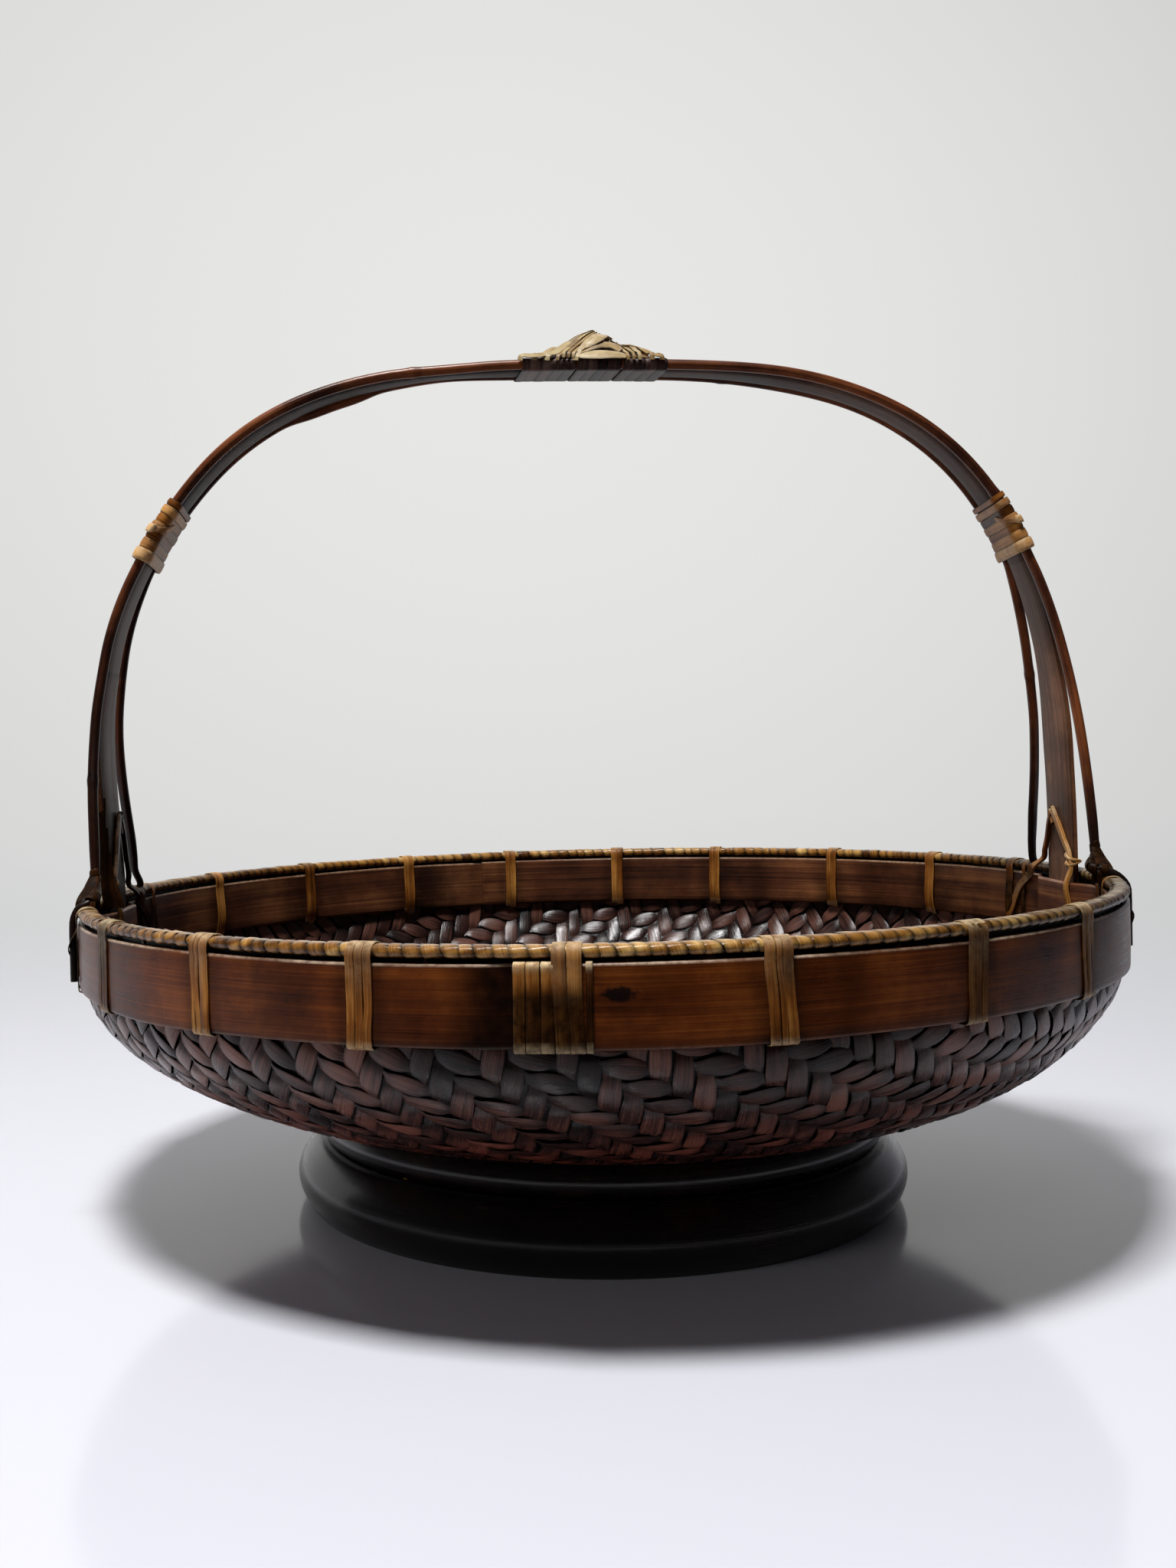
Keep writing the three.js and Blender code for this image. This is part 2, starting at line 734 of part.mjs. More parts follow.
// Ties, with the span of each one's offsets for the slots in the wall
const rodAzimuth = THREE.MathUtils.radToDeg(Math.atan2(rodFootY, rodFootX));
const rodSide = rodRadius + fit + caneWidth / 2 + 0.3;
const ties = [
  ...frontTies.map((azimuth, i) => ({ name: `tie_front_${i + 1}`, azimuth, turns: tieTurns })),
  ...backTies.map((azimuth, i) => ({ name: `tie_back_${i + 1}`, azimuth, turns: tieTurns })),
  { name: "tie_wide", azimuth: wideTieAzimuth, turns: wideTieTurns },
].map((tie) => ({ ...tie, passes: spread(tie.turns, canePitch).map((s) => [s, s]), bulge: 0 }));
const rodPlaces = [
  ["right_rear", rodAzimuth],
  ["left_rear", 180 - rodAzimuth],
  ["left_front", 180 + rodAzimuth],
  ["right_front", -rodAzimuth],
];
for (const [label, azimuth] of rodPlaces) {
  const passes = [
    [-rodSide - canePitch, -rodSide - canePitch],
    [-rodSide, rodSide],
    [rodSide + canePitch, rodSide + canePitch],
  ];
  ties.push({ name: `rod_tie_${label}`, azimuth, passes, bulge: 2 * rodRadius + 3 * fit });
}

// Bowl
const slots = ties.map(({ azimuth, passes }) => {
  return wallSlot(azimuth, Math.min(...passes.flat()) - 1, Math.max(...passes.flat()));
});
add("woven_bowl", cut(revolve(bowlProfile(), bowlSegments), slots), weaveBrown);

// Rim
const swellSteps = [0, 0.3, 0.7, 1].map((share) => legAngle + legSwellRun * share);
const swellStations = [0, 180].flatMap((leg) => {
  return swellSteps.flatMap((away) => [leg - away, leg + away]);
});
add("rim_band_outer", hoop({
  inner: rimRadius - bandThickness,
  outer: rimRadius,
  bottom: outerBandBottom,
  top: outerBandTop,
  lapAzimuth: outerLapAzimuth,
}), bambooHoney);
add("rim_band_inner", hoop({
  inner: innerBandInner,
  outer: innerBandOuter,
  bottom: innerBandBottom,
  top: innerBandTop,
  lapAzimuth: backTies[4],
  inward: legSwell,
  extra: swellStations,
}), bambooRed);
add("rim_core", rimCore(), bambooDark);
add("rim_wrap", rimWrap(), cane);
for (const { name, azimuth, passes, bulge } of ties) {
  add(name, tieGeometry(name, azimuth, passes, bulge), cane);
}

// Handle
add("handle_strip", handleStrip(), bambooDark);
add("handle_rod_front", rod(-1), bambooDark);
add("handle_rod_rear", rod(1), bambooDark);
const shoulder = distanceAtHeight(shoulderHeight);
const lashings = [
  ["shoulder_lashing_right", shoulder, shoulderTurns, shoulderPitch, cane],
  ["shoulder_lashing_left", archLength - shoulder, shoulderTurns, shoulderPitch, cane],
  ["crown_lashing", archLength / 2, crownTurns, crownPitch, paleCane],
];
for (const [name, middle, turns, pitch, look] of lashings) {
  add(name, handleLashing(name, middle, turns, pitch), look);
}
add("crown_knot", crownKnot(), paleCane);
add("leg_lashing_right", legLashing(1), cane);
add("leg_lashing_left", legLashing(-1), cane);

for (const [name, gap] of Object.entries(leastGaps)) {
  console.log(`least gap between turns of ${name}: ${gap.toFixed(2)} mm`);
}

export default basket;
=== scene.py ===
"""Looks of the bamboo offering basket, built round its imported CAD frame.

Sizes are in millimetres and become metres when a piece is made. The handle stands over the X axis
and the front is towards -Y. Azimuths are degrees round +Z, from +X.
"""
import math
from functools import reduce

import bpy
import numpy as np
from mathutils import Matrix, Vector


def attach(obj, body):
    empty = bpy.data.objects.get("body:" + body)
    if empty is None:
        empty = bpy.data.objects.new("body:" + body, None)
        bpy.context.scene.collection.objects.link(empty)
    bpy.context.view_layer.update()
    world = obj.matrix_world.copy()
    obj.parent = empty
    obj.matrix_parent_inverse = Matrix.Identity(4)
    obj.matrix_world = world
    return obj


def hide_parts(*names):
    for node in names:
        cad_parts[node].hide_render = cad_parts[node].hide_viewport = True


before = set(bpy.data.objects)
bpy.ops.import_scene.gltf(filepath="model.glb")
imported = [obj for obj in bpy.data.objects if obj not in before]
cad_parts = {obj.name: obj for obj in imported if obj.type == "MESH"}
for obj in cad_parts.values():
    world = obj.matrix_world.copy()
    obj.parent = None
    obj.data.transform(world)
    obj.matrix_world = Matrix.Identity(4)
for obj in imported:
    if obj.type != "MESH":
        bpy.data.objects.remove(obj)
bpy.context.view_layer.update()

MM = 0.001
SHARP_EDGE = 45  # degrees
rng = np.random.default_rng(11)

# Sizes that repeat the CAD's
FIT = 0.3
RIM_RADIUS = 210.0
BAND_THICKNESS = 2.4
OUTER_BOTTOM, OUTER_TOP = 97.0, 122.2
INNER_BOTTOM, INNER_TOP = 99.0, 122.4
BAND_LAP = 9.0
OUTER_LAP_AZIMUTH = -97.9
BOWL_WALL = 2.0
BOWL_DEPTH = 64.0
BOWL_SIDE_POWER, BOWL_FLOOR_POWER = 3.2, 1.6
ROLL_HALF_WIDTH, ROLL_HALF_HEIGHT = 3.4, 2.1
CANE_THICKNESS = 0.8
WIDE_TIE_AZIMUTH = -99.5
FRONT_TIES = [-150.5, -132.5, -115.5, -81.2, -62.2, -45.0]
BACK_TIES = [31.1, 48.2, 67.0, 82.2, 98.9, 115.3, 132.0, 149.2]
FOOT_RADIUS, FOOT_WALL = 121.5, 11.0
LOWER_FOOT_HEIGHT, UPPER_FOOT_STEP = 25.5, 6.9
STRIP_WIDTH, SHOULDER_WIDTH, CROWN_WIDTH = 28.0, 19.0, 14.0
STRIP_THICKNESS, STRIP_DISH = 2.8, 0.7
ARCH_TOP, ARCH_SPRING = 343.0, 100.0
ARCH_SIDE_POWER, ARCH_TOP_POWER = 3.2, 3.3
LEG_END = 99.2
ROD_RADIUS = 2.1
ROD_FOOT_Y = 49.0
ROD_SPLAY_TOP, ROD_SPLAY = 262.0, 24.0
ROD_BEND_POWER = 18
SHOULDER_HEIGHT = 274.0
LEG_SWELL_RUN = 5.0
LEAN_DEGREES, LEAN_PIVOT, LEAN_START = 1.3, 110.0, 45.0
LEFT_BOW = 5.2
LEFT_BOW_FOOT, LEFT_BOW_FULL, LEFT_BOW_TOP, LEFT_BOW_END = 128.0, 205.0, 225.0, 300.0

# Places worked out from them
WALL_OUTER = RIM_RADIUS - BAND_THICKNESS - FIT
WALL_INNER = WALL_OUTER - BOWL_WALL
WALL_MIDDLE = (WALL_OUTER + WALL_INNER) / 2
INNER_BAND_OUTER = WALL_INNER - FIT
INNER_BAND_INNER = INNER_BAND_OUTER - BAND_THICKNESS
ROLL_BOTTOM = max(OUTER_TOP, INNER_TOP) + FIT + 0.4
ROLL_CENTRE = ROLL_BOTTOM + ROLL_HALF_HEIGHT
CANE_REACH = FIT + CANE_THICKNESS / 2
FACET_SAG = RIM_RADIUS * (1 - math.cos(math.pi / 60))
TIE_OUTER = RIM_RADIUS + 0.32
TIE_INNER = INNER_BAND_INNER - 0.4
TIE_UNDER = OUTER_BOTTOM - CANE_REACH
ROLL_INNER = WALL_MIDDLE - ROLL_HALF_WIDTH - FACET_SAG
STRIP_REACH = math.sqrt(ROLL_INNER ** 2 - (STRIP_WIDTH / 2) ** 2) - FIT
ARCH_HALF_SPAN = STRIP_REACH - STRIP_THICKNESS / 2
LEG_ANGLE = math.degrees((STRIP_WIDTH / 2 + FIT) / STRIP_REACH)
ROD_FOOT_X = math.sqrt((RIM_RADIUS + FIT + ROD_RADIUS) ** 2 - ROD_FOOT_Y ** 2)
ROD_AZIMUTH = math.degrees(math.atan2(ROD_FOOT_Y, ROD_FOOT_X))
FOOT_INNER = FOOT_RADIUS - FOOT_WALL
ROD_KNEE = ROLL_CENTRE + ROLL_HALF_HEIGHT + 1.0

# Cane as made here: most of it, that of the knot, and the gap between a tie's turns
FLAT_CANE, KNOT_CANE = 0.5, 0.6
TIE_GAP = 0.12

# Soot on the ties: the height up to which it goes, and its depth
LIGHT_SOOT, SIDE_SOOT, WIDE_SOOT, ROD_SOOT = (104.0, 0.3), (140.0, 0.5), (116.0, 1.1), (122.0, 0.9)
SIDE_TIES = ("tie_front_1", "tie_front_5", "tie_front_6")

# Woven mat: a 2/2 twill of flat strips
MAT_PITCH = 7.5
ACROSS_WIDTH, ALONG_WIDTH = 7.3, 7.2
ACROSS_PINCH, ALONG_PINCH = 0.42, 0.12
MAT_STATIONS = 4
MAT_TOP = 120.5
MAT_SHORTEST = 24
MAT_OVER, MAT_ARCH, MAT_TILT = 0.46, 0.3, 0.42
MAT_SECTION = np.array([(-1, 0), (-0.74, 0.27), (0.74, 0.27), (1, 0), (0.74, -0.27),
                        (-0.74, -0.27)])
LINING_HALF = 0.03
STEEP_FROM = 350  # of the 539 places along the wall
EDGE_BOTTOM, EDGE_TOP = 118.0, 124.0
LOW_TINT_HEIGHTS = 0.048, 0.074  # metres, as the material sees them

# Lapping of the rim
LAP_CENTRE = ROLL_CENTRE + 0.25
LAP_HALF_HEIGHT = 1.8
LAP_TURNS, LAP_STEPS = 250, 20
LAP_SQUARENESS = 0.75
# Its stretches of painted shade: depth, azimuth, reach in degrees
LAP_SHADE = ((0.8, -22.0, 60), (0.5, 165.0, 40))

# Dark cane round the front rods, between two heights
COIL_TURNS = 5.4
COIL_BOTTOM, COIL_TOP = 129.4, 140

# Shares of the arch's rise where the strip starts and ends its taper, and starts the one to the crown
TAPER_START, TAPER_END, CROWN_TAPER_START = 0.31, 0.52, 0.89
# Extra half width at the front of the strip's legs, and the heights over which it comes and goes
FULLER, FULLER_COMES, FULLER_GOES = 2.9, (168, 208), (232, 268)
# Where the rear rod dips nearer the inside of the arch: depth, place along X, reach
REAR_DIP = (1.9, -108, 16)

# Bamboo nodes, by their distance from the right end, of the strip and of the two rods
STRIP_NODES = [165, 395, 640]
FRONT_NODES, REAR_NODES = [210, 470, 700], [120, 330, 590, 760]

# Rolls of the handle's bundle: tangent of the angle, place along X, reach
TWISTS = ((0.075, -60, 18), (-0.078, 85, 30))

# Colours of the room as 8-bit sRGB: the floor in front as light sees it and as the camera does
FLOOR_DARK, FLOOR_PALE = (50, 46, 49), (234, 234, 243)
BACKDROP_MIDDLE, BACKDROP_EDGE = (231, 231, 229), (204, 205, 204)
ROOM_GREY = (186, 187, 188)
# Linear colour of the room's faint light
ROOM_GLOW = (0.93, 0.95, 1.0, 1.0)

# Camera fitted to the photo: metres, degrees below level and round Z, millimetres
CAMERA_PLACE = (-0.0624, -0.648, 0.1825)
CAMERA_DOWN, CAMERA_TURN = 1.2465, -4.95
CAMERA_LENS, CAMERA_SENSOR = 35.54, 36.0


# Shape helpers

def smooth(value, low, high):
    """0 at low, 1 at high and an S between them."""
    share = np.clip((np.asarray(value, float) - low) / (high - low), 0.0, 1.0)
    return share * share * (3 - 2 * share)


def unit(vectors):
    return vectors / np.maximum(np.linalg.norm(vectors, axis=-1, keepdims=True), 1e-12)


def length_along(points):
    """Length along a row of points, from 0 at the first."""
    return np.concatenate([[0], np.cumsum(np.linalg.norm(np.diff(points, axis=0), axis=1))])


def rows_at(at, places, rows):
    """Rows of a table at places between its own."""
    return np.stack([np.interp(at, places, column) for column in rows.T], -1)


def squared_off(value, power):
    """A sine or cosine to a power, with its sign, which squares off a circle."""
    return np.sign(value) * np.abs(value) ** power


def polar(azimuth, radius, height):
    """Points at azimuths in degrees, radii and heights."""
    azimuth, radius, height = np.broadcast_arrays(np.radians(azimuth), radius, height)
    return np.stack([radius * np.cos(azimuth), radius * np.sin(azimuth), height], -1)


def lean(points):
    """The set of the basket: it turns a little about Y, and the handle's left leg bows out."""
    bow = LEFT_BOW * smooth(points[:, 2], LEFT_BOW_FOOT, LEFT_BOW_FULL)
    bow = bow * (1 - smooth(points[:, 2], LEFT_BOW_TOP, LEFT_BOW_END))
    points = points.copy()
    points[:, 0] -= np.where(points[:, 0] < 0, bow, 0.0)
    angle = math.radians(LEAN_DEGREES) * smooth(points[:, 2], LEAN_START, OUTER_BOTTOM)
    rise = points[:, 2] - LEAN_PIVOT
    x = points[:, 0] * np.cos(angle) - rise * np.sin(angle)
    z = LEAN_PIVOT + points[:, 0] * np.sin(angle) + rise * np.cos(angle)
    return np.stack([x, points[:, 1], z], -1)


def through(points, step=1.2):
    """A smooth path through points, with a place about every step millimetres.

    Columns after the first three, such as a width, are carried along the path.
    """
    points = np.asarray(points, float)
    chord = length_along(points[:, :3])
    slope = np.gradient(points, chord, axis=0)
    at = np.linspace(0, chord[-1], max(int(chord[-1] / step), 2) + 1)
    k = np.clip(np.searchsorted(chord, at, side="right") - 1, 0, len(chord) - 2)
    run = (chord[k + 1] - chord[k])[:, None]
    t = (at - chord[k])[:, None] / run
    return ((2 * t ** 3 - 3 * t ** 2 + 1) * points[k] + (t ** 3 - 2 * t ** 2 + t) * run * slope[k]
            + (3 * t ** 2 - 2 * t ** 3) * points[k + 1] + (t ** 3 - t ** 2) * run * slope[k + 1])


def wander(count, spacing, size, seed_rng=rng):
    """A slow random drift with a new value about every spacing stations."""
    knots = seed_rng.normal(0, size, max(int(count / spacing), 2) + 3)
    at = np.linspace(0, len(knots) - 1.001, count)
    low = at.astype(int)
    share = smooth(at, low, low + 1)
    return knots[low] * (1 - share) + knots[low + 1] * share


def sweep(path, wide, section, width=1.0, thickness=1.0):
    """Rings of a section along a path, with its width along the wide directions."""
    tangent = unit(np.gradient(path, axis=0))
    wide = np.broadcast_to(wide, path.shape)
    wide = unit(wide - (wide * tangent).sum(-1, keepdims=True) * tangent)
    out = np.cross(tangent, wide)
    across = wide[:, None, :] * section[None, :, 0, None] * np.reshape(width, (-1, 1, 1))
    up = out[:, None, :] * section[None, :, 1, None] * np.reshape(thickness, (-1, 1, 1))
    return path[:, None, :] + across + up


class Strands:
    """Gathers swept strands into one mesh, with UVs in metres along and round each strand."""

    def __init__(self):
        self.points, self.faces, self.uvs = [], [], []
        self.values = {"tone": [], "grime": [], "wear": []}
        self.count = 0

    def add(self, rings, tone=0.5, grime=0.0, wear=0.0, closed=False):
        """Joins rings into a strand. Each value is one number, one a ring or one a point."""
        n, m, _ = rings.shape
        spans = n if closed else n - 1
        middle, widest = rings.mean(axis=1), rings[n // 2]
        along = length_along(np.concatenate([middle, middle[:1]])[:spans + 1])
        around = length_along(np.concatenate([widest, widest[:1]]))
        # Each strand's fibres start at a place of their own
        along = (along + rng.uniform(0, 5000)) * MM
        around = (around + rng.uniform(0, 500)) * MM

        index = self.count + np.arange(n * m).reshape(n, m)
        i, j = np.arange(spans)[:, None], np.arange(m)[None, :]
        after, beside = (i + 1) % n, (j + 1) % m
        quads = np.stack([index[i, j], index[after, j], index[after, beside], index[i, beside]], -1)
        uv = np.stack([np.stack(np.broadcast_arrays(along[a], around[b]), -1)
                       for a, b in ((i, j), (i + 1, j), (i + 1, j + 1), (i, j + 1))], -2)
        quads, uv = quads.reshape(-1, 4), uv.reshape(-1, 4, 2)
        flat = rings.reshape(-1, 3)
        a, b, c, d = (flat[quads[:, k] - self.count] for k in range(4))
        volume = (np.cross(b - a, c - a) * a).sum() + (np.cross(c - a, d - a) * a).sum()
        turn = -1 if volume < 0 else 1
        self.faces.extend(quads[:, ::turn].tolist())
        self.uvs.append(uv[:, ::turn].reshape(-1, 2))
        if not closed:
            for cap, place in ((index[0][::-turn], along[0]), (index[-1][::turn], along[-1])):
                self.faces.append(cap.tolist())
                self.uvs.append(np.stack([np.full(m, place), around[:m]], -1))
        self.points.append(flat)
        for label, value in (("tone", tone), ("grime", grime), ("wear", wear)):
            value = np.clip(np.asarray(value, float), 0, 1)
            value = value[:, None] if value.ndim == 1 else value
            self.values[label].append(np.broadcast_to(value, (n, m)).reshape(-1))
        self.count += n * m


def one_strand(rings, **values):
    strands = Strands()
    strands.add(rings, **values)
    return strands


def smooth_object(name, points, faces, material):
    """One smooth-shaded object in the scene, from points in metres."""
    mesh = bpy.data.meshes.new(name)
    mesh.from_pydata(points, [], faces)
    mesh.polygons.foreach_set("use_smooth", np.ones(len(mesh.polygons), bool))
    mesh.materials.append(material)
    obj = bpy.data.objects.new(name, mesh)
    bpy.context.scene.collection.objects.link(obj)
    return obj


def piece(name, strands, material, node, level=False):
    """Makes one object of the strands, riding on the basket in place of a CAD node."""
    points = np.concatenate(strands.points)
    if not level:
        points = lean(points)
    obj = smooth_object(name, (points * MM).tolist(), strands.faces, material)
    mesh = obj.data
    mesh.uv_layers.new(name="strand").data.foreach_set("uv", np.concatenate(strands.uvs).ravel())
    for label, values in strands.values.items():
        layer = mesh.attributes.new(label, "FLOAT", "POINT")
        layer.data.foreach_set("value", np.concatenate(values).astype(np.float32))
    mesh.set_sharp_from_angle(angle=math.radians(SHARP_EDGE))
    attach(obj, "root")
    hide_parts(node)


# Materials

def srgb(red, green, blue):
    """A linear colour from 8-bit sRGB values."""
    values = [v / 255 for v in (red, green, blue)]
    linear = [v / 12.92 if v <= 0.04045 else ((v + 0.055) / 1.055) ** 2.4 for v in values]
    return (*linear, 1.0)


class Tree:
    """Short calls for building the nodes of a material or of the world."""

    def __init__(self, owner, shader="Principled BSDF"):
        owner.use_nodes = True
        self.owner = owner
        self.nodes, self.links = owner.node_tree.nodes, owner.node_tree.links
        self.shader = self.nodes[shader]

    def add(self, kind, values=None, **settings):
        node = self.nodes.new(kind)
        for key, value in settings.items():
            setattr(node, key, value)
        for key, value in (values or {}).items():
            self.put(node, key, value)
        return node

    def put(self, node, key, value):
        socket = node.inputs[key]
        if isinstance(value, bpy.types.NodeSocket):
            self.links.new(value, socket)
        else:
            socket.default_value = value

    def math(self, operation, first, second, clamp=False):
        values = {0: first, 1: second}
        return self.add("ShaderNodeMath", values, operation=operation, use_clamp=clamp).outputs[0]

    def times(self, first, second, clamp=False):
        return self.math("MULTIPLY", first, second, clamp)

    def plus(self, first, second):
        return self.math("ADD", first, second)

    def vector(self, operation, *inputs):
        return self.add("ShaderNodeVectorMath", dict(enumerate(inputs)), operation=operation).outputs

    def noise(self, vector, scale, detail=3.0, roughness=0.55):
        values = {"Vector": vector, "Scale": scale, "Detail": detail, "Roughness": roughness}
        return self.add("ShaderNodeTexNoise", values).outputs["Fac"]

    def stretched(self, vector, scale):
        return self.add("ShaderNodeMapping", {"Vector": vector, "Scale": scale}).outputs[0]

    def spread(self, value, low, high, to_low=0.0, to_high=1.0):
        values = {"Value": value, "From Min": low, "From Max": high, "To Min": to_low,
                  "To Max": to_high}
        return self.add("ShaderNodeMapRange", values, clamp=True).outputs["Result"]

    def mix(self, factor, first, second, blend="MIX"):
        values = {0: factor, 6: first, 7: second}
        return self.add("ShaderNodeMix", values, data_type="RGBA", blend_type=blend).outputs[2]

    def attribute(self, name):
        return self.add("ShaderNodeAttribute", attribute_name=name).outputs["Fac"]

    def axes(self, vector):
        return self.add("ShaderNodeSeparateXYZ", {"Vector": vector}).outputs

    def show(self, shader, output):
        self.links.new(shader.outputs[0], self.nodes[output].inputs["Surface"])


def eye_mark(tree, place, colour, centre, half_size, mark):
    """A small dark eye in the bamboo, with its centre and half sizes in millimetres."""
    away = tree.vector("SUBTRACT", place, [c * MM for c in centre])[0]
    scaled = tree.vector("MULTIPLY", away, [1 / MM / size for size in half_size])[0]
    ragged = tree.spread(tree.noise(place, 700.0), 0.2, 0.8, -0.4, 0.4)
    ragged = tree.plus(tree.vector("LENGTH", scaled)["Value"], ragged)
    return tree.mix(tree.spread(ragged, 0.7, 1.1, 0.92, 0.0), colour, srgb(*mark))


def fibre_material(name, colours, rough, *, streak=0.5, blotch=0.35, tone=0.5, fine=2600.0,
                   long=45.0, bump=0.00012, coat=0.0, coat_rough=0.2, gloss=0.35,
                   upper_gloss=None, on_strands=True, patch=28.0, smoke=0.0, low_tint=None,
                   eye=None):
    """Split bamboo or cane: fibre streaks along each strand, patches, grime and worn edges.

    colours: the ramp's dark, middle and light, the one for grime and painted shade and, for edges that
    wear and take painted highlights, theirs. fine and long are the streaks' scales across and along
    the grain, patch that of the patches. streak, blotch and tone are the shares of streaks, patches
    and each strand's tone in the colour.
    """
    dark, middle, light, stain, *worn_and_lit = [srgb(*colour) for colour in colours]
    tree = Tree(bpy.data.materials.new(name))
    place = tree.add("ShaderNodeTexCoord").outputs["Object"]
    if on_strands:
        grain = tree.add("ShaderNodeUVMap", uv_map="strand").outputs["UV"]
        thin, wide = (long, fine, 1), (long * 0.3, fine / 5, 1)
    else:
        grain, tone = place, 0.0
        thin, wide = (long, long * 6, fine / 4), (long * 0.3, long, fine / 20)
    fibre = tree.noise(tree.stretched(grain, thin), 1.0, 4.0, 0.65)
    broad = tree.noise(tree.stretched(grain, wide), 1.0)
    patches = tree.noise(place, patch, 5.0, 0.62)
    levels = [tree.times(tree.spread(value, 0.3, 0.7), share) for value, share in
              ((fibre, streak * 0.55), (broad, streak * 0.45), (patches, blotch))]
    if on_strands:
        levels.append(tree.times(tree.attribute("tone"), tone))
    levels.append(0.5 * (1 - streak - blotch - tone))
    ramp = tree.add("ShaderNodeValToRGB", {"Fac": reduce(tree.plus, levels)})
    stops = ramp.color_ramp.elements
    stops[0].position, stops[0].color = 0.14, dark
    stops[1].position, stops[1].color = 0.9, light
    stops.new(0.5).color = middle
    colour = ramp.outputs["Color"]
    if smoke > 0:
        haze = tree.spread(tree.noise(place, 19.0, 5.0, 0.65), 0.5, 0.72, 0.0, smoke)
        colour = tree.mix(haze, colour, stain)
    if low_tint is not None:
        lowness = tree.spread(tree.axes(place)["Z"], *LOW_TINT_HEIGHTS, 1.0, 0.0)
        colour = tree.mix(lowness, colour, srgb(*low_tint), "MULTIPLY")
    specks = tree.spread(tree.noise(place, 900.0, 2.0, 0.6), 0.64, 0.76, 0.0, 0.4)
    colour = tree.mix(specks, colour, stain)
    if eye is not None:
        colour = eye_mark(tree, place, colour, *eye)
    if on_strands:
        # The grime attribute holds real grime and painted shade; both darken towards the stain colour.
        uneven = tree.spread(tree.noise(place, 260.0, 3.0, 0.6), 0.25, 0.7, 0.8, 1.0)
        darkened = tree.times(tree.attribute("grime"), uneven, clamp=True)
        colour = tree.mix(darkened, colour, stain)
        clean = gloss
        if upper_gloss is not None:
            facing = tree.add("ShaderNodeNewGeometry").outputs["Normal"]
            clean = tree.spread(tree.axes(facing)["Z"], 0.1, 0.5, gloss, upper_gloss)
        gloss = tree.spread(darkened, 0, 1, clean, 0.3 * gloss)
    if worn_and_lit:
        # The wear attribute holds real wear and painted highlights; both pale towards the last colour.
        rubbed_and_lit = tree.spread(tree.noise(place, 420.0, 3.0, 0.6), 0.3, 0.6, 0.25, 1.0)
        rubbed_and_lit = tree.times(tree.attribute("wear"), rubbed_and_lit, clamp=True)
        colour = tree.mix(rubbed_and_lit, colour, worn_and_lit[0])
    uneven_gloss = tree.plus(tree.times(patches, 0.5), tree.times(fibre, 0.5))
    values = {"Height": fibre, "Strength": 0.6, "Distance": bump}
    fine_bump = tree.add("ShaderNodeBump", values).outputs["Normal"]
    values = {"Height": patches, "Strength": 0.4, "Distance": bump * 5, "Normal": fine_bump}
    broad_bump = tree.add("ShaderNodeBump", values).outputs["Normal"]
    for key, value in (("Base Color", colour), ("Specular IOR Level", gloss),
                       ("Roughness", tree.spread(uneven_gloss, 0.35, 0.65, *rough)),
                       ("Normal", broad_bump), ("Coat Weight", coat),
                       ("Coat Roughness", coat_rough)):
        tree.put(tree.shader, key, value)
    return tree.owner


weave_bamboo = fibre_material(
    "woven_strips", [(14, 7, 5), (48, 27, 22), (108, 70, 58), (4, 2, 2)], (0.2, 0.38), streak=0.6,
    tone=0.7, fine=1700.0, bump=0.0002, gloss=0.22, upper_gloss=0.56, low_tint=(255, 178, 156))
honey_bamboo = fibre_material(
    "honey_bamboo", [(46, 18, 5), (90, 42, 13), (140, 76, 27), (15, 8, 5), (190, 165, 142)],
    (0.24, 0.42), streak=0.6, blotch=0.5, tone=0.3, fine=1500.0, long=16.0, coat=0.06,
    coat_rough=0.12, gloss=0.16, smoke=0.6,
    eye=((-15.4, -209.6, 112.8), (5.0, 4.0, 2.3), (8, 7, 8)))
red_bamboo = fibre_material(
    "red_bamboo", [(38, 17, 10), (88, 48, 27), (142, 90, 52), (14, 8, 6), (160, 130, 104)],
    (0.34, 0.52), streak=0.8, blotch=0.45, tone=0.3, fine=1100.0, long=13.0, smoke=0.7)
rim_cane = fibre_material(
    "rim_cane", [(82, 48, 16), (164, 112, 48), (226, 182, 108), (20, 11, 6), (240, 220, 184)],
    (0.18, 0.4), blotch=0.45, tone=0.6, fine=2200.0, gloss=0.5)
tie_cane = fibre_material(
    "tie_cane", [(60, 30, 8), (140, 82, 30), (214, 150, 74), (20, 10, 4), (236, 210, 166)],
    (0.26, 0.5), streak=0.7, blotch=0.45, tone=0.6, fine=1900.0, gloss=0.17)
pale_cane = fibre_material(
    "pale_cane", [(112, 74, 28), (206, 162, 86), (250, 226, 168), (26, 14, 7), (246, 230, 204)],
    (0.3, 0.46), blotch=0.4, tone=0.6, fine=2000.0)
# Painted shade: a darkened copy of the pale cane, for the crown's turns below the knot, which lie in
# shade.
painted_shade_cane = fibre_material(
    "painted_shade_cane", [(26, 16, 14), (62, 44, 40), (112, 88, 78), (9, 6, 5), (150, 130, 106)],
    (0.34, 0.5), streak=0.6, blotch=0.4, tone=0.6, fine=2000.0, gloss=0.2)
handle_bamboo = fibre_material(
    "handle_bamboo", [(40, 23, 16), (98, 66, 48), (168, 122, 92), (18, 10, 8), (170, 104, 60)],
    (0.4, 0.56), streak=0.7, blotch=0.5, tone=0.4, fine=1300.0, long=10.0, gloss=0.2)
rod_bamboo = fibre_material(
    "rod_bamboo", [(20, 9, 6), (58, 27, 14), (132, 72, 36), (8, 5, 4), (160, 100, 58)],
    (0.26, 0.42), streak=0.6, blotch=0.5, tone=0.6, fine=1300.0, long=12.0, coat=0.08,
    coat_rough=0.15)
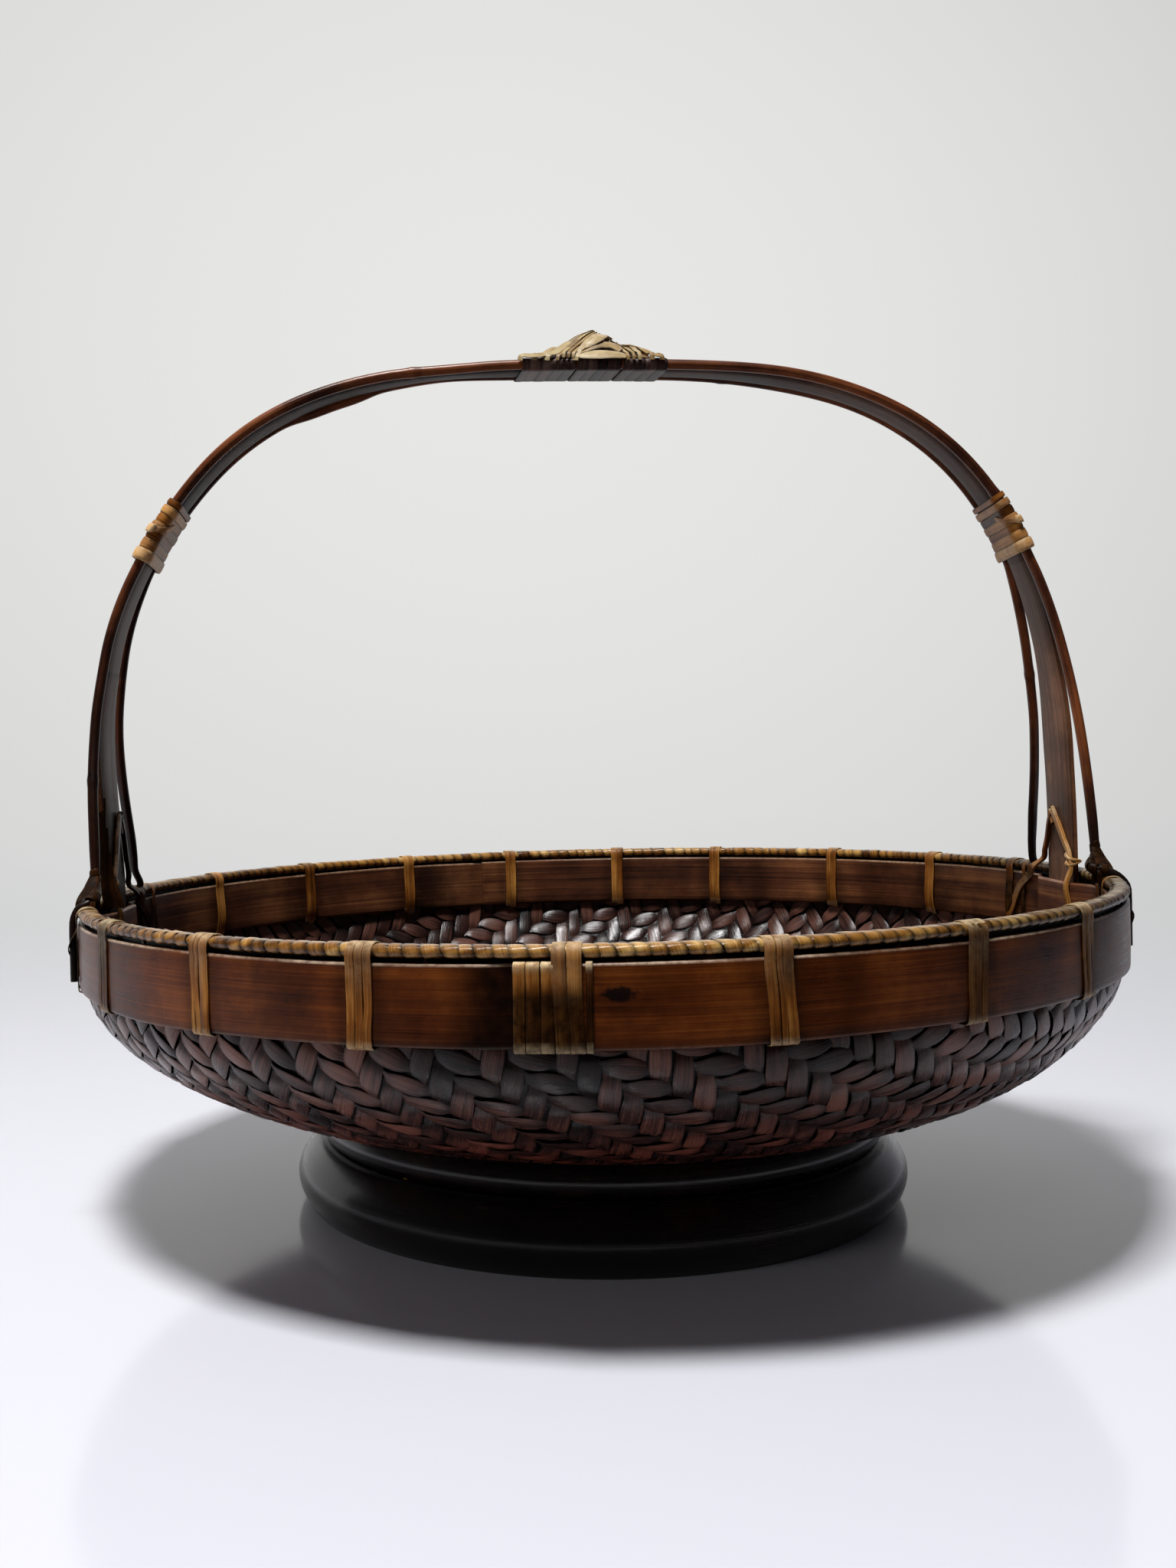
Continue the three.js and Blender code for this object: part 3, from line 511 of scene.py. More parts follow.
foot_lacquer = fibre_material(
    "foot_lacquer", [(4, 3, 3), (10, 6, 5), (30, 15, 10), (3, 2, 2), (60, 44, 36)], (0.17, 0.3),
    streak=0.4, blotch=0.6, tone=0.3, fine=1100.0, long=8.0, coat=0.1, coat_rough=0.1, gloss=0.5,
    patch=22.0)
plain_dark = fibre_material(
    "plain_dark_bamboo", [(18, 10, 8), (42, 24, 17), (76, 46, 30), (10, 6, 5)], (0.35, 0.55),
    on_strands=False)
plain_pale = fibre_material(
    "plain_pale_bamboo", [(96, 66, 34), (148, 108, 60), (188, 150, 96), (50, 30, 16)], (0.4, 0.6),
    on_strands=False)


# Foot

def foot_hoop(bottom, height, base, taper, bulge, seed):
    """A bent hoop with an arched outer face and slightly rounded edges."""
    share = np.linspace(0, 1, 19)
    outer = base - taper * share + bulge * np.sin(math.pi * share)
    soft = 0.5 * (np.exp(-share * 30) + np.exp(-(1 - share) * 30))
    profile = [(r - s, bottom + height * t) for r, s, t in zip(outer, soft, share)]
    profile += [(FOOT_INNER + 1, bottom + height), (FOOT_INNER, bottom + height - 1),
                (FOOT_INNER, bottom + 1), (FOOT_INNER + 1, bottom)]
    profile = np.array(profile)
    azimuth = np.arange(0, 360, 1.5)
    drift = wander(len(azimuth), 14, 0.12, np.random.default_rng(seed))
    drift -= np.linspace(0, drift[-1] - drift[0], len(azimuth))
    return polar(azimuth[:, None], profile[None, :, 0] + drift[:, None] * 0.6, profile[None, :, 1])


def bowl_height(radius):
    share = 1 - (radius / WALL_OUTER) ** BOWL_SIDE_POWER
    return OUTER_BOTTOM - BOWL_DEPTH * share ** (1 / BOWL_FLOOR_POWER)


upper_foot_bottom = LOWER_FOOT_HEIGHT + FIT
upper_foot_height = bowl_height(FOOT_INNER) - FIT - upper_foot_bottom
for label, bottom, height, base, taper, bulge, seed in (
        ("lower", 0, LOWER_FOOT_HEIGHT, FOOT_RADIUS, 3.5, 6.2, 3),
        ("upper", upper_foot_bottom, upper_foot_height, FOOT_RADIUS - UPPER_FOOT_STEP, 1, 3.2, 4)):
    foot = one_strand(foot_hoop(bottom, height, base, taper, bulge, seed), closed=True)
    piece(f"foot_hoop_{label}", foot, foot_lacquer, f"foot_ring_{label}", level=True)


# Woven bowl

def bowl_section():
    """Arc length, radius, height and outward normal along the middle of the bowl's wall."""
    angle = np.linspace(0, math.pi / 2, 500)
    radius = WALL_OUTER * np.sin(angle) ** (2 / BOWL_SIDE_POWER)
    height = OUTER_BOTTOM - BOWL_DEPTH * np.cos(angle) ** (2 / BOWL_FLOOR_POWER)
    wall = np.linspace(0, MAT_TOP + 4 - OUTER_BOTTOM, 40)[1:]
    radius = np.concatenate([radius, np.full(len(wall), WALL_OUTER)])
    height = np.concatenate([height, OUTER_BOTTOM + wall])
    tangent = unit(np.stack([np.gradient(radius), np.gradient(height)], -1))
    normal = np.stack([tangent[:, 1], -tangent[:, 0]], -1)
    normal[0] = (0, -1)
    radius = radius - normal[:, 0] * BOWL_WALL / 2
    height = height - normal[:, 1] * BOWL_WALL / 2
    radius[0] = 0
    return length_along(np.stack([radius, height], -1)), radius, height, normal


run, run_radius, run_height, run_normal = bowl_section()
mat_reach = np.interp(MAT_TOP, run_height[STEEP_FROM:], run[STEEP_FROM:])


def on_bowl(x, y, out):
    """Lays the flat mat's points on the bowl, a little out from the middle of its wall."""
    rho = np.hypot(x, y)
    turn = np.arctan2(y, x)
    radius = np.interp(rho, run, run_radius) + out * np.interp(rho, run, run_normal[:, 0])
    height = np.interp(rho, run, run_height) + out * np.interp(rho, run, run_normal[:, 1])
    return np.stack([radius * np.cos(turn), radius * np.sin(turn), height], -1)


def mat_strip(weave, number, count, across):
    """One strip of the 2/2 twill mat, along X if across, else along Y."""
    centre = (number - (count - 1) / 2) * MAT_PITCH
    half = math.sqrt(max(mat_reach ** 2 - centre ** 2, 0))
    if half < MAT_SHORTEST / 2:
        return
    steps = int(2 * half / MAT_PITCH * MAT_STATIONS)
    along = np.linspace(-half, half, steps + 1)
    place = along / MAT_PITCH + (count - 1) / 2
    first = np.floor(place).astype(int)
    share = smooth(place - first, 0.2, 0.8)
    if across:
        here, after = (number - first) % 4 < 2, (number - first - 1) % 4 < 2
        sign, middle, width, pinch = 1, number - 0.5, ACROSS_WIDTH, ACROSS_PINCH
    else:
        here, after = (first - number) % 4 < 2, (first + 1 - number) % 4 < 2
        sign, middle, width, pinch = -1, number + 0.5, ALONG_WIDTH, ALONG_PINCH
    side = np.where(here, 1.0, -1.0) * (1 - share) + np.where(after, 1.0, -1.0) * share
    wave = np.cos(math.pi / 2 * (place - middle))
    out = sign * (MAT_OVER * side + MAT_ARCH * wave)
    taper = 1 - pinch * (1 - np.abs(wave)) ** 1.3
    half_width = width / 2 * (rng.uniform(0.94, 1.02) + wander(steps + 1, 9, 0.03)) * taper
    drift = wander(steps + 1, 22, 0.28)
    lateral = centre + drift[:, None] + half_width[:, None] * MAT_SECTION[None, :, 0]
    tilt = MAT_TILT * sign * np.sin(math.pi / 2 * (place - middle)) + wander(steps + 1, 7, 0.16)
    level = out[:, None] + MAT_SECTION[None, :, 1] + tilt[:, None] * MAT_SECTION[None, :, 0]
    flat = [np.broadcast_to(along[:, None], lateral.shape), lateral]
    rings = on_bowl(*(flat if across else flat[::-1]), level)
    # Painted shade: each strip is darker at its edges and where it dives under the other strips; its
    # tone rises at the middle of each float as a painted highlight.
    edge = np.abs(MAT_SECTION[:, 0]) ** 6
    dive_shade = (1 - np.abs(wave)) ** 2
    tone = 0.5 + rng.normal(0, 0.18) + wander(steps + 1, 8, 0.14) + 0.16 * np.abs(wave)
    weave.add(rings, tone=tone, grime=0.5 * edge[None, :] + 0.55 * dive_shade[:, None])


def hoop(profile, step=4.0):
    """Rings of a closed profile of radius and height swept round the basket."""
    profile = np.array(profile)
    azimuth = np.arange(0, 360, step)
    return polar(azimuth[:, None], profile[None, :, 0], profile[None, :, 1])


def weave_gap_shade():
    """A thin dark layer between the two faces of the mat, painted shade that fills its gaps."""
    reach = np.linspace(1.0, mat_reach - 1.0, 46)
    radius, height = np.interp(reach, run, run_radius), np.interp(reach, run, run_height)
    profile = [(r, h + LINING_HALF) for r, h in zip(radius, height)]
    profile += [(r, h - LINING_HALF) for r, h in zip(radius[::-1], height[::-1])]
    return hoop(profile)


def roll_gap_shade():
    """A dark band at the mat's top inside the rim roll, painted shade in the gap between the bands and
    the roll.
    """
    return hoop([(WALL_MIDDLE - 0.9, EDGE_BOTTOM), (WALL_MIDDLE + 0.9, EDGE_BOTTOM),
                 (WALL_MIDDLE + 0.7, EDGE_TOP), (WALL_MIDDLE - 0.7, EDGE_TOP)], 3.0)


weave = Strands()
strip_count = int(2 * mat_reach / MAT_PITCH) + 1
for strip in range(strip_count):
    for across in (True, False):
        mat_strip(weave, strip, strip_count, across)
# Painted shade: a dark layer filling the mat's gaps
weave.add(weave_gap_shade(), tone=0.0, grime=1.0, closed=True)
# Painted shade: a dark band in the gap under the rim roll
weave.add(roll_gap_shade(), tone=0.0, grime=1.0, closed=True)
piece("bowl_weave", weave, weave_bamboo, "woven_bowl")


# Rim bands

def leg_swell(azimuth):
    """How far the inner band is pushed inwards, which it is where the strip's legs stand."""
    away = np.abs(((azimuth % 180) + 270) % 180 - 90)
    depth = INNER_BAND_OUTER - (STRIP_REACH - STRIP_THICKNESS - STRIP_DISH - FIT)
    return depth * (1 - smooth(away, LEG_ANGLE, LEG_ANGLE + LEG_SWELL_RUN))


def away_from(azimuth, place):
    """Signed angle from a place to an azimuth."""
    return (azimuth - place + 180) % 360 - 180


def near(azimuth, places, reach):
    """1 beside a place, falling to 0 at reach degrees from it."""
    nearest = np.min([np.abs(away_from(azimuth, place)) for place in places], axis=0)
    return 1 - smooth(nearest, reach * 0.3, reach)


def band(inner, outer, bottom, top, lap_azimuth, ties, stains, outward, swell=False):
    """A lapped hoop of split bamboo with rounded edges, and a pale upper arris, worn and with a
    painted highlight.

    outward is 1 for the outer band and -1 for the inner one, whose seen face is the inner one.
    """
    turn = 360 + BAND_LAP
    ramp = BAND_LAP / 3
    half = (outer - inner - FIT) / 2
    start = lap_azimuth + BAND_LAP / 2
    along = np.linspace(0, turn, 560)
    azimuth = start - along
    start_thin = 1 - smooth(along, BAND_LAP, BAND_LAP + ramp)
    end_thin = smooth(along, 360 - ramp, 360)
    shift = leg_swell(azimuth) if swell else np.zeros_like(azimuth)
    high = outer - shift - start_thin * (half + FIT)
    low = inner - shift + end_thin * (half + FIT)
    # share across the band's thickness from the hidden face, offset, height, wear and painted
    # highlight
    share = np.linspace(0, 1, 9)
    rise = (top - bottom - 2.2) * share
    arch = 0.16 * (1 - (2 * share - 1) ** 2)
    seen = [(1.0, a - 0.16, bottom + 1.1 + r, 0.0) for a, r in zip(arch, rise)]
    hidden = [(0.0, 0.0, bottom + 0.8 + r, 0.0) for r in rise[::-4]]
    section = ([(0.0, 0.5, bottom, 0.0), (1.0, -0.7, bottom, 0.0), (1.0, -0.3, bottom + 0.3, 0.1)]
               + seen + [(1.0, -0.22, top - 0.55, 0.9), (1.0, -0.6, top - 0.12, 1.0),
                         (1.0, -1.0, top, 0.15), (0.0, 0.5, top, 0.0)] + hidden)
    section = np.array(section)
    hidden_face, seen_face = (low, high) if outward > 0 else (high, low)
    radius = (hidden_face[:, None] * (1 - section[:, 0]) + seen_face[:, None] * section[:, 0]
              + outward * section[:, 1])
    upper = (section[:, 2] > (bottom + top) / 2)[None, :]
    top_wave, bottom_wave = wander(len(along), 34, 0.13), wander(len(along), 26, 0.2)
    height = section[None, :, 2] + np.where(upper, top_wave[:, None], bottom_wave[:, None])
    rings = polar(azimuth[:, None], radius, height)
    # Darker beside the ties, partly grime and partly painted shade, and darker towards the lower edge;
    # then the listed stains.
    grime = 0.55 * near(azimuth, ties, 3.4)[:, None]
    grime = grime + 0.5 * np.exp(-(height - bottom) / 2.0)
    for place, width, depth in stains:
        grime = grime + depth * np.exp(-(away_from(azimuth, place) / width) ** 2)[:, None]
    face_only = np.where((section[:, 0] > 0.5) & (section[:, 3] < 0.5), 1.0, 0.4)
    tone = 0.5 + wander(len(along), 30, 0.2)[:, None] + 0.1 * np.sin(section[None, :, 2] * 0.6)
    # The wear column paints the upper arris pale: real wear and a painted highlight.
    wear = section[None, :, 3] * (0.65 + wander(len(along), 6, 0.3)[:, None])
    return one_strand(rings, tone=tone, grime=grime * face_only[None, :], wear=wear)


rod_azimuths = [ROD_AZIMUTH, 180 - ROD_AZIMUTH, 180 + ROD_AZIMUTH, -ROD_AZIMUTH]
all_ties = FRONT_TIES + BACK_TIES + rod_azimuths
# Dark stains on each band: azimuth, width in degrees, depth
outer_stains = [(-105.3, 2.6, 0.75), (-101, 3.5, 0.3), (-75, 1.6, 0.25), (-42, 3.0, 0.4),
                (40, 3.0, 0.5), (90, 3.0, 0.4), (150, 4.0, 0.5)]
inner_stains = [(112, 2.2, 0.7), (135.5, 2.0, 0.5), (60, 2.0, 0.5), (41, 3.0, 0.4)]
outer_band = band(RIM_RADIUS - BAND_THICKNESS, RIM_RADIUS, OUTER_BOTTOM, OUTER_TOP,
                  OUTER_LAP_AZIMUTH, all_ties + [WIDE_TIE_AZIMUTH, WIDE_TIE_AZIMUTH - 3],
                  outer_stains, 1)
piece("band_outer", outer_band, honey_bamboo, "rim_band_outer")
inner_band = band(INNER_BAND_INNER, INNER_BAND_OUTER, INNER_BOTTOM, INNER_TOP, BACK_TIES[4],
                  all_ties + [WIDE_TIE_AZIMUTH], inner_stains, -1, swell=True)
piece("band_inner", inner_band, red_bamboo, "rim_band_inner")


# Rim lapping

def rim_lapping():
    """One strand of cane wound round the rim core, with uneven turns."""
    pitch = np.clip(rng.normal(1, 0.14, LAP_TURNS), 0.72, 1.35)
    pitch *= 360 / pitch.sum()
    starts = np.concatenate([[0], np.cumsum(pitch)])
    number = np.arange(LAP_TURNS * LAP_STEPS + 1) / LAP_STEPS
    azimuth = np.interp(number, np.arange(LAP_TURNS + 1), starts)
    phase = -2 * math.pi * number
    lift = 0.06 + np.abs(wander(len(number), 17, 0.13))
    across = squared_off(np.cos(phase), LAP_SQUARENESS)
    up = squared_off(np.sin(phase), LAP_SQUARENESS)
    radius = WALL_MIDDLE + (ROLL_HALF_WIDTH - 0.35 + lift) * across
    height = LAP_CENTRE + (LAP_HALF_HEIGHT - 0.3 + lift) * up
    local_pitch = np.interp(number, np.arange(LAP_TURNS) + 0.5, pitch)
    width = np.radians(local_pitch) * WALL_MIDDLE
    section = np.array([(-0.5, 0), (-0.42, 0.2), (-0.24, 0.36), (0.16, 0.36), (0.4, 0.22), (0.5, 0),
                        (0.4, -0.2), (-0.4, -0.2)])
    rings = sweep(polar(azimuth, radius, height), polar(azimuth + 90, 1.0, 0.0), section, width)
    tone = 0.5 + np.repeat(rng.normal(0, 0.22, LAP_TURNS), LAP_STEPS)
    tone = np.append(tone, 0.5) + wander(len(number), 160, 0.16)
    # Painted shade: darker at each turn's edges, on its underside and over the stretches above. Its
    # top is paled as a painted highlight, by a random share per turn.
    edge = np.abs(2 * section[:, 0]) ** 3
    lapping_shade = 0.6 * smooth(-np.sin(phase), 0.2, 0.8)
    for depth, place, reach in LAP_SHADE:
        lapping_shade = lapping_shade + depth * near(azimuth, [place], reach)
    rubbed_and_lit = np.repeat(rng.uniform(0, 1, LAP_TURNS + 1), LAP_STEPS)[:len(number)]
    return one_strand(rings, tone=tone, grime=edge[None, :] + lapping_shade[:, None],
                      wear=0.35 * smooth(np.sin(phase), 0.75, 1.0) * rubbed_and_lit)


piece("rim_lapping", rim_lapping(), rim_cane, "rim_wrap")


# Cane ties over the bands

def flat_cane(strands, path, width, wide, tone, edge_shade=0.6, thickness=FLAT_CANE, stain=0.0,
              edge_power=8):
    """Adds one flat strand. Path columns: x, y, z, share of the width, wear and painted highlight."""
    across = np.array([-0.5, -0.44, -0.22, 0.22, 0.44, 0.5, 0.44, -0.44])
    out = np.array([0.0, 0.34, 0.5, 0.5, 0.34, 0.0, -0.42, -0.42])
    section = np.stack([across, out * thickness], -1)
    scale = width * path[:, 3] * (1 + wander(len(path), 14, 0.04))
    rings = sweep(path[:, :3], wide, section, scale)
    # Painted shade: each strand is darker at its edges, where it meets its neighbours.
    edge = np.abs(2 * across) ** edge_power
    tones = tone + wander(len(path), 12, 0.12) + wander(len(path), 50, 0.14)
    strands.add(rings, tone=tones, grime=edge_shade * edge[None, :] + np.reshape(stain, (-1, 1)),
                wear=path[:, 4])


def tie_path(azimuth, passes, bulge=0.0):
    """Up the outside, over the roll, down the inside and back through the wall, once per pass."""
    def place(offset, radius, height, wear=0.0, width=1.0):
        point = polar(azimuth + math.degrees(offset / RIM_RADIUS), radius, height)
        return [*point, width, wear]

    last = passes[0][0] - 1.2
    points = [place(last, TIE_INNER + 1.6, INNER_BOTTOM - 1.0)]
    for up, over, width in passes:
        slip = rng.normal(0, 0.18, 2)
        # offset along the rim, radius, height, wear and painted highlight, highest where the cane
        # bends under the band and over the roll
        turn = [((last + up) / 2, WALL_MIDDLE, TIE_UNDER + 0.3, 0),
                (up, TIE_OUTER - 1.4, TIE_UNDER - 0.1, 0.2),
                (up, TIE_OUTER - 0.15, TIE_UNDER + 0.5, 0.35),
                (up + slip[0], TIE_OUTER, TIE_UNDER + 2.6, 0)]
        if bulge > 0 and up != over:
            turn += [(up, TIE_OUTER, OUTER_BOTTOM + 8, 0),
                     (up * 0.5, TIE_OUTER + 0.75 * bulge, OUTER_BOTTOM + 12, 0),
                     (up * 0.1, TIE_OUTER + bulge, OUTER_BOTTOM + 14.5, 0),
                     (over * 0.5, TIE_OUTER + 0.75 * bulge, OUTER_BOTTOM + 18, 0)]
        else:
            turn.append(((up + over) / 2 + slip[1], TIE_OUTER, (OUTER_BOTTOM + OUTER_TOP) / 2, 0))
        turn.append((over, TIE_OUTER, OUTER_TOP - 2.0, 0.1))
        for degrees, wear in ((8, 0.2), (50, 0.55), (90, 0.5), (130, 0.2), (172, 0)):
            swing = math.radians(degrees)
            turn.append((over, WALL_MIDDLE + (ROLL_HALF_WIDTH + 0.42) * math.cos(swing),
                         LAP_CENTRE + (LAP_HALF_HEIGHT + 0.6) * math.sin(swing), wear))
        turn += [(over, TIE_INNER, INNER_TOP - 2, 0), (over, TIE_INNER, INNER_BOTTOM + 1.6, 0),
                 (over, TIE_INNER + 0.9, INNER_BOTTOM - 0.9, 0.3)]
        points += [place(*station, width) for station in turn]
        last = over
    points.append(place(last, TIE_INNER + 2.2, INNER_BOTTOM - 0.7))
    return through(points, 1.1)


def fold_path(azimuth, offset, lean_by):
    """A strand that only goes up the outer band and folds down behind its upper edge."""
    def place(height, radius, wear=0.0):
        share = (height - OUTER_BOTTOM) / (OUTER_TOP - OUTER_BOTTOM)
        shift = offset + lean_by * (share - 0.5)
        return [*polar(azimuth + math.degrees(shift / RIM_RADIUS), radius, height), 1.0, wear]

    # The wear column paints a highlight where the strand bends under the band and folds over its edge.
    return through([
        place(OUTER_BOTTOM + 0.5, TIE_OUTER - 2.9), place(TIE_UNDER - 0.1, TIE_OUTER - 1.4, 0.2),
        place(TIE_UNDER + 0.5, TIE_OUTER - 0.15, 0.35), place(OUTER_BOTTOM + 2.6, TIE_OUTER),
        place(OUTER_BOTTOM + 12, TIE_OUTER), place(OUTER_TOP - 2.2, TIE_OUTER, 0.1),
        place(OUTER_TOP - 0.2, TIE_OUTER + 0.05, 0.8), place(OUTER_TOP + 0.45, TIE_OUTER - 0.9, 1.0),
        place(OUTER_TOP + 0.2, TIE_OUTER - 2.2, 0.5), place(OUTER_TOP - 1.6, TIE_OUTER - 2.75)], 0.9)


def around_rim(path):
    """Directions along the rim at the places of a path."""
    return unit(np.stack([-path[:, 1], path[:, 0], 0 * path[:, 0]], -1))


def soot(path, height, depth):
    """Dark stain on a tie's lower half, below a height."""
    return depth * (1 - smooth(path[:, 2], height - 8, height + 3))


def tie(node, azimuth, passes, bulge=0.0, tone=0.5, extra=None, stain=LIGHT_SOOT):
    """One tie of the bands, with its passes, and what extra adds to it."""
    path = tie_path(azimuth, passes, bulge)
    strands = Strands()
    flat_cane(strands, path, 1.0, around_rim(path), tone + rng.normal(0, 0.08), 0.8,
              stain=soot(path, *stain))
    if extra is not None:
        extra(strands)
    piece(f"cane_{node}", strands, tie_cane, node)


def laid_out(widths, slant):
    """Passes of these widths side by side about the middle, leaning by slant from foot to top."""
    total = sum(widths) + TIE_GAP * (len(widths) - 1)
    at = -total / 2
    passes = []
    for width in widths:
        centre = at + width / 2
        passes.append((centre - slant / 2, centre + slant / 2, width))
        at += width + TIE_GAP
    return passes


front_widths = [(3.0, 2.9, 2.6), (2.0, 2.3, 4.0), (2.9, 2.7, 2.8), (3.6, 1.9, 3.3), (2.9, 2.9, 2.5),
                (2.4, 3.6, 2.6)]
front_slants = [0.3, -0.4, 0.2, -1.5, 0.6, -0.7]
back_widths = [(2.4, 3.3), (3.2, 2.6), (2.8, 2.9), (3.4, 2.8), (3.1, 2.5), (2.7, 3.2), (3.3, 2.7),
               (2.9, 2.9)]
back_slants = [-1.8, -1.4, -0.5, 0.3, 0.2, -0.6, 0.5, 0.8]
for row, azimuths, widths, slants in (("front", FRONT_TIES, front_widths, front_slants),
                                      ("back", BACK_TIES, back_widths, back_slants)):
    for i, azimuth in enumerate(azimuths):
        node = f"tie_{row}_{i + 1}"
        tie(node, azimuth, laid_out(widths[i], slants[i]), tone=0.3 if node == SIDE_TIES[0] else 0.5,
            stain=SIDE_SOOT if node in SIDE_TIES else LIGHT_SOOT)


def wide_folds(strands):
    """The wide tie's strands that only fold behind the outer band."""
    for offset, width, lean_by, tone in ((-9.4, 3.7, 0.3, 0.62), (-5.4, 4.1, 0.2, 0.52),
                                         (-1.2, 3.9, 0.3, 0.5), (10.9, 2.1, 0.2, 0.15)):
        path = fold_path(WIDE_TIE_AZIMUTH, offset, lean_by)
        flat_cane(strands, path, width, around_rim(path), tone, 0.8, stain=soot(path, *WIDE_SOOT))


tie("tie_wide", WIDE_TIE_AZIMUTH, [(3.0, 2.2, 4.2), (7.4, 6.7, 4.4)], extra=wide_folds,
    stain=WIDE_SOOT)


# Handle

def strip_half(height):
    """Half the strip's width at a height: it tapers above the legs and again to the crown."""
    rise = ARCH_TOP - ARCH_SPRING
    upper = SHOULDER_WIDTH + (CROWN_WIDTH - SHOULDER_WIDTH) * smooth(
        height, ARCH_SPRING + CROWN_TAPER_START * rise, ARCH_TOP)
    taper = smooth(height, ARCH_SPRING + TAPER_START * rise, ARCH_SPRING + TAPER_END * rise)
    return (STRIP_WIDTH + (upper - STRIP_WIDTH) * taper) / 2


def rod_across(height):
    """Distance of the rods from the middle plane at a height."""
    share = np.clip((ROD_SPLAY_TOP - height) / (ROD_SPLAY_TOP - ROD_KNEE), 0, 1)
    beside = strip_half(np.maximum(height, ROD_SPLAY_TOP)) + FIT + ROD_RADIUS
    return beside + ROD_SPLAY * share + (ROD_FOOT_Y - ROD_SPLAY - beside) * share ** ROD_BEND_POWER


def arch_line():
    """The middle line of the handle strip, evenly spaced, with outward normals."""
    angle = np.linspace(0, math.pi, 600)
    rise = ARCH_TOP - STRIP_THICKNESS / 2 - ARCH_SPRING
    x = ARCH_HALF_SPAN * squared_off(np.cos(angle), 2 / ARCH_SIDE_POWER)
    z = ARCH_SPRING + rise * np.sin(angle) ** (2 / ARCH_TOP_POWER)
    x = np.concatenate([[ARCH_HALF_SPAN], x, [-ARCH_HALF_SPAN]])
    z = np.concatenate([[LEG_END], z, [LEG_END]])
    corners = np.stack([x, np.zeros(len(x)), z], -1)
    length = length_along(corners)
    at = np.linspace(0, length[-1], 2000)
    line = rows_at(at, length, corners)
    kernel = np.ones(31) / 31
    for k in (0, 2):
        padded = np.pad(line[:, k], 15, mode="reflect", reflect_type="odd")
        line[:, k] = np.convolve(padded, kernel, mode="valid")
    tangent = unit(np.gradient(line, axis=0))
    return at, line, np.stack([tangent[:, 2], 0 * at, -tangent[:, 0]], -1)


arch_at, arch_points, arch_normals = arch_line()
ARCH_LENGTH = arch_at[-1]


def on_arch(distance, out=0.0, across=0.0):
    """A place on the arch at a distance from its right-hand end."""
    distance = np.asarray(distance, float)
    out, across = np.broadcast_arrays(out, across)
    point = rows_at(distance, arch_at, arch_points)
    point = point + rows_at(distance, arch_at, arch_normals) * np.asarray(out)[..., None]
    point[..., 1] = across
    return point


def arch_tangent(distance):
    """Direction along the arch, from its right-hand end to its left."""
    normal = rows_at(distance, arch_at, arch_normals)
    return np.stack([-normal[..., 2], normal[..., 1], normal[..., 0]], -1)


def x_at(distance):
    return np.interp(distance, arch_at, arch_points[:, 0])


def height_at(distance):
    return np.interp(distance, arch_at, arch_points[:, 2])


def at_height(height):
    """Distance from the arch's right-hand end to a height on that side."""
    half = arch_at < ARCH_LENGTH / 2
    return float(np.interp(height, arch_points[half, 2], arch_at[half]))


def twist(distance):
    """Tangent of the angle by which the bundle rolls about its own line."""
    x = x_at(distance)
    return sum(depth * np.exp(-((x - place) / reach) ** 2) for depth, place, reach in TWISTS)


def nodes_of(distance, places, reach):
    """1 at the bamboo's nodes, falling off over reach."""
    return np.max([np.exp(-((distance - place) / reach) ** 2) for place in places], axis=0)


def handle_strip():
    """The strip, a little fuller at the front of its legs, darker low down, high up and over its left
    half.
    """
    stations = 560
    distance = np.linspace(0, ARCH_LENGTH, stations)
    ridge = nodes_of(distance, STRIP_NODES, 1.6)
    line = nodes_of(distance, [place - 2 for place in STRIP_NODES], 0.9)
    thick = STRIP_THICKNESS / 2
    share = np.linspace(-1, 1, 11)
    top = [(thick + 0.1 * (1 - s * s) - 0.5 * abs(s) ** 8, s) for s in share]
    bottom = [(-thick - STRIP_DISH * (1 - abs(s) ** 3) + 0.4 * abs(s) ** 8, s * 0.99)
              for s in share[::-1]]
    section = np.array(top + bottom)
    heights = height_at(distance)
    half = strip_half(heights)[:, None]
    fuller = FULLER * smooth(heights, *FULLER_COMES) * (1 - smooth(heights, *FULLER_GOES))
    half = np.where(section[None, :, 1] < 0, half + fuller[:, None], half)
    across = section[None, :, 1] * half + wander(stations, 60, 0.2)[:, None]
    out = section[None, :, 0] * (1 + 0.12 * ridge[:, None]) + across * twist(distance)[:, None]
    rings = on_arch(np.broadcast_to(distance[:, None], out.shape), out, across)
    edge = np.abs(section[:, 1]) ** 8
    arris = (section[:, 0] > 0) * np.abs(section[:, 1]) ** 16
    tone = 0.5 + wander(stations, 50, 0.15)
    low, high = 1 - smooth(heights, 115, 165), smooth(heights, 240, 285)
    blotched = 1 - smooth(heights + wander(stations, 9, 5.0), 150, 178)
    left_dark = np.where(distance > ARCH_LENGTH / 2, 0.75 * blotched + 0.35, 0.0)
    darkened = 0.5 * line + 0.35 * low + 0.55 * high + left_dark
    return one_strand(rings, tone=tone, grime=darkened[:, None] + 0.3 * edge[None, :],
                      wear=np.broadcast_to(0.4 * arris, out.shape))


piece("handle_arch", handle_strip(), handle_bamboo, "handle_strip")


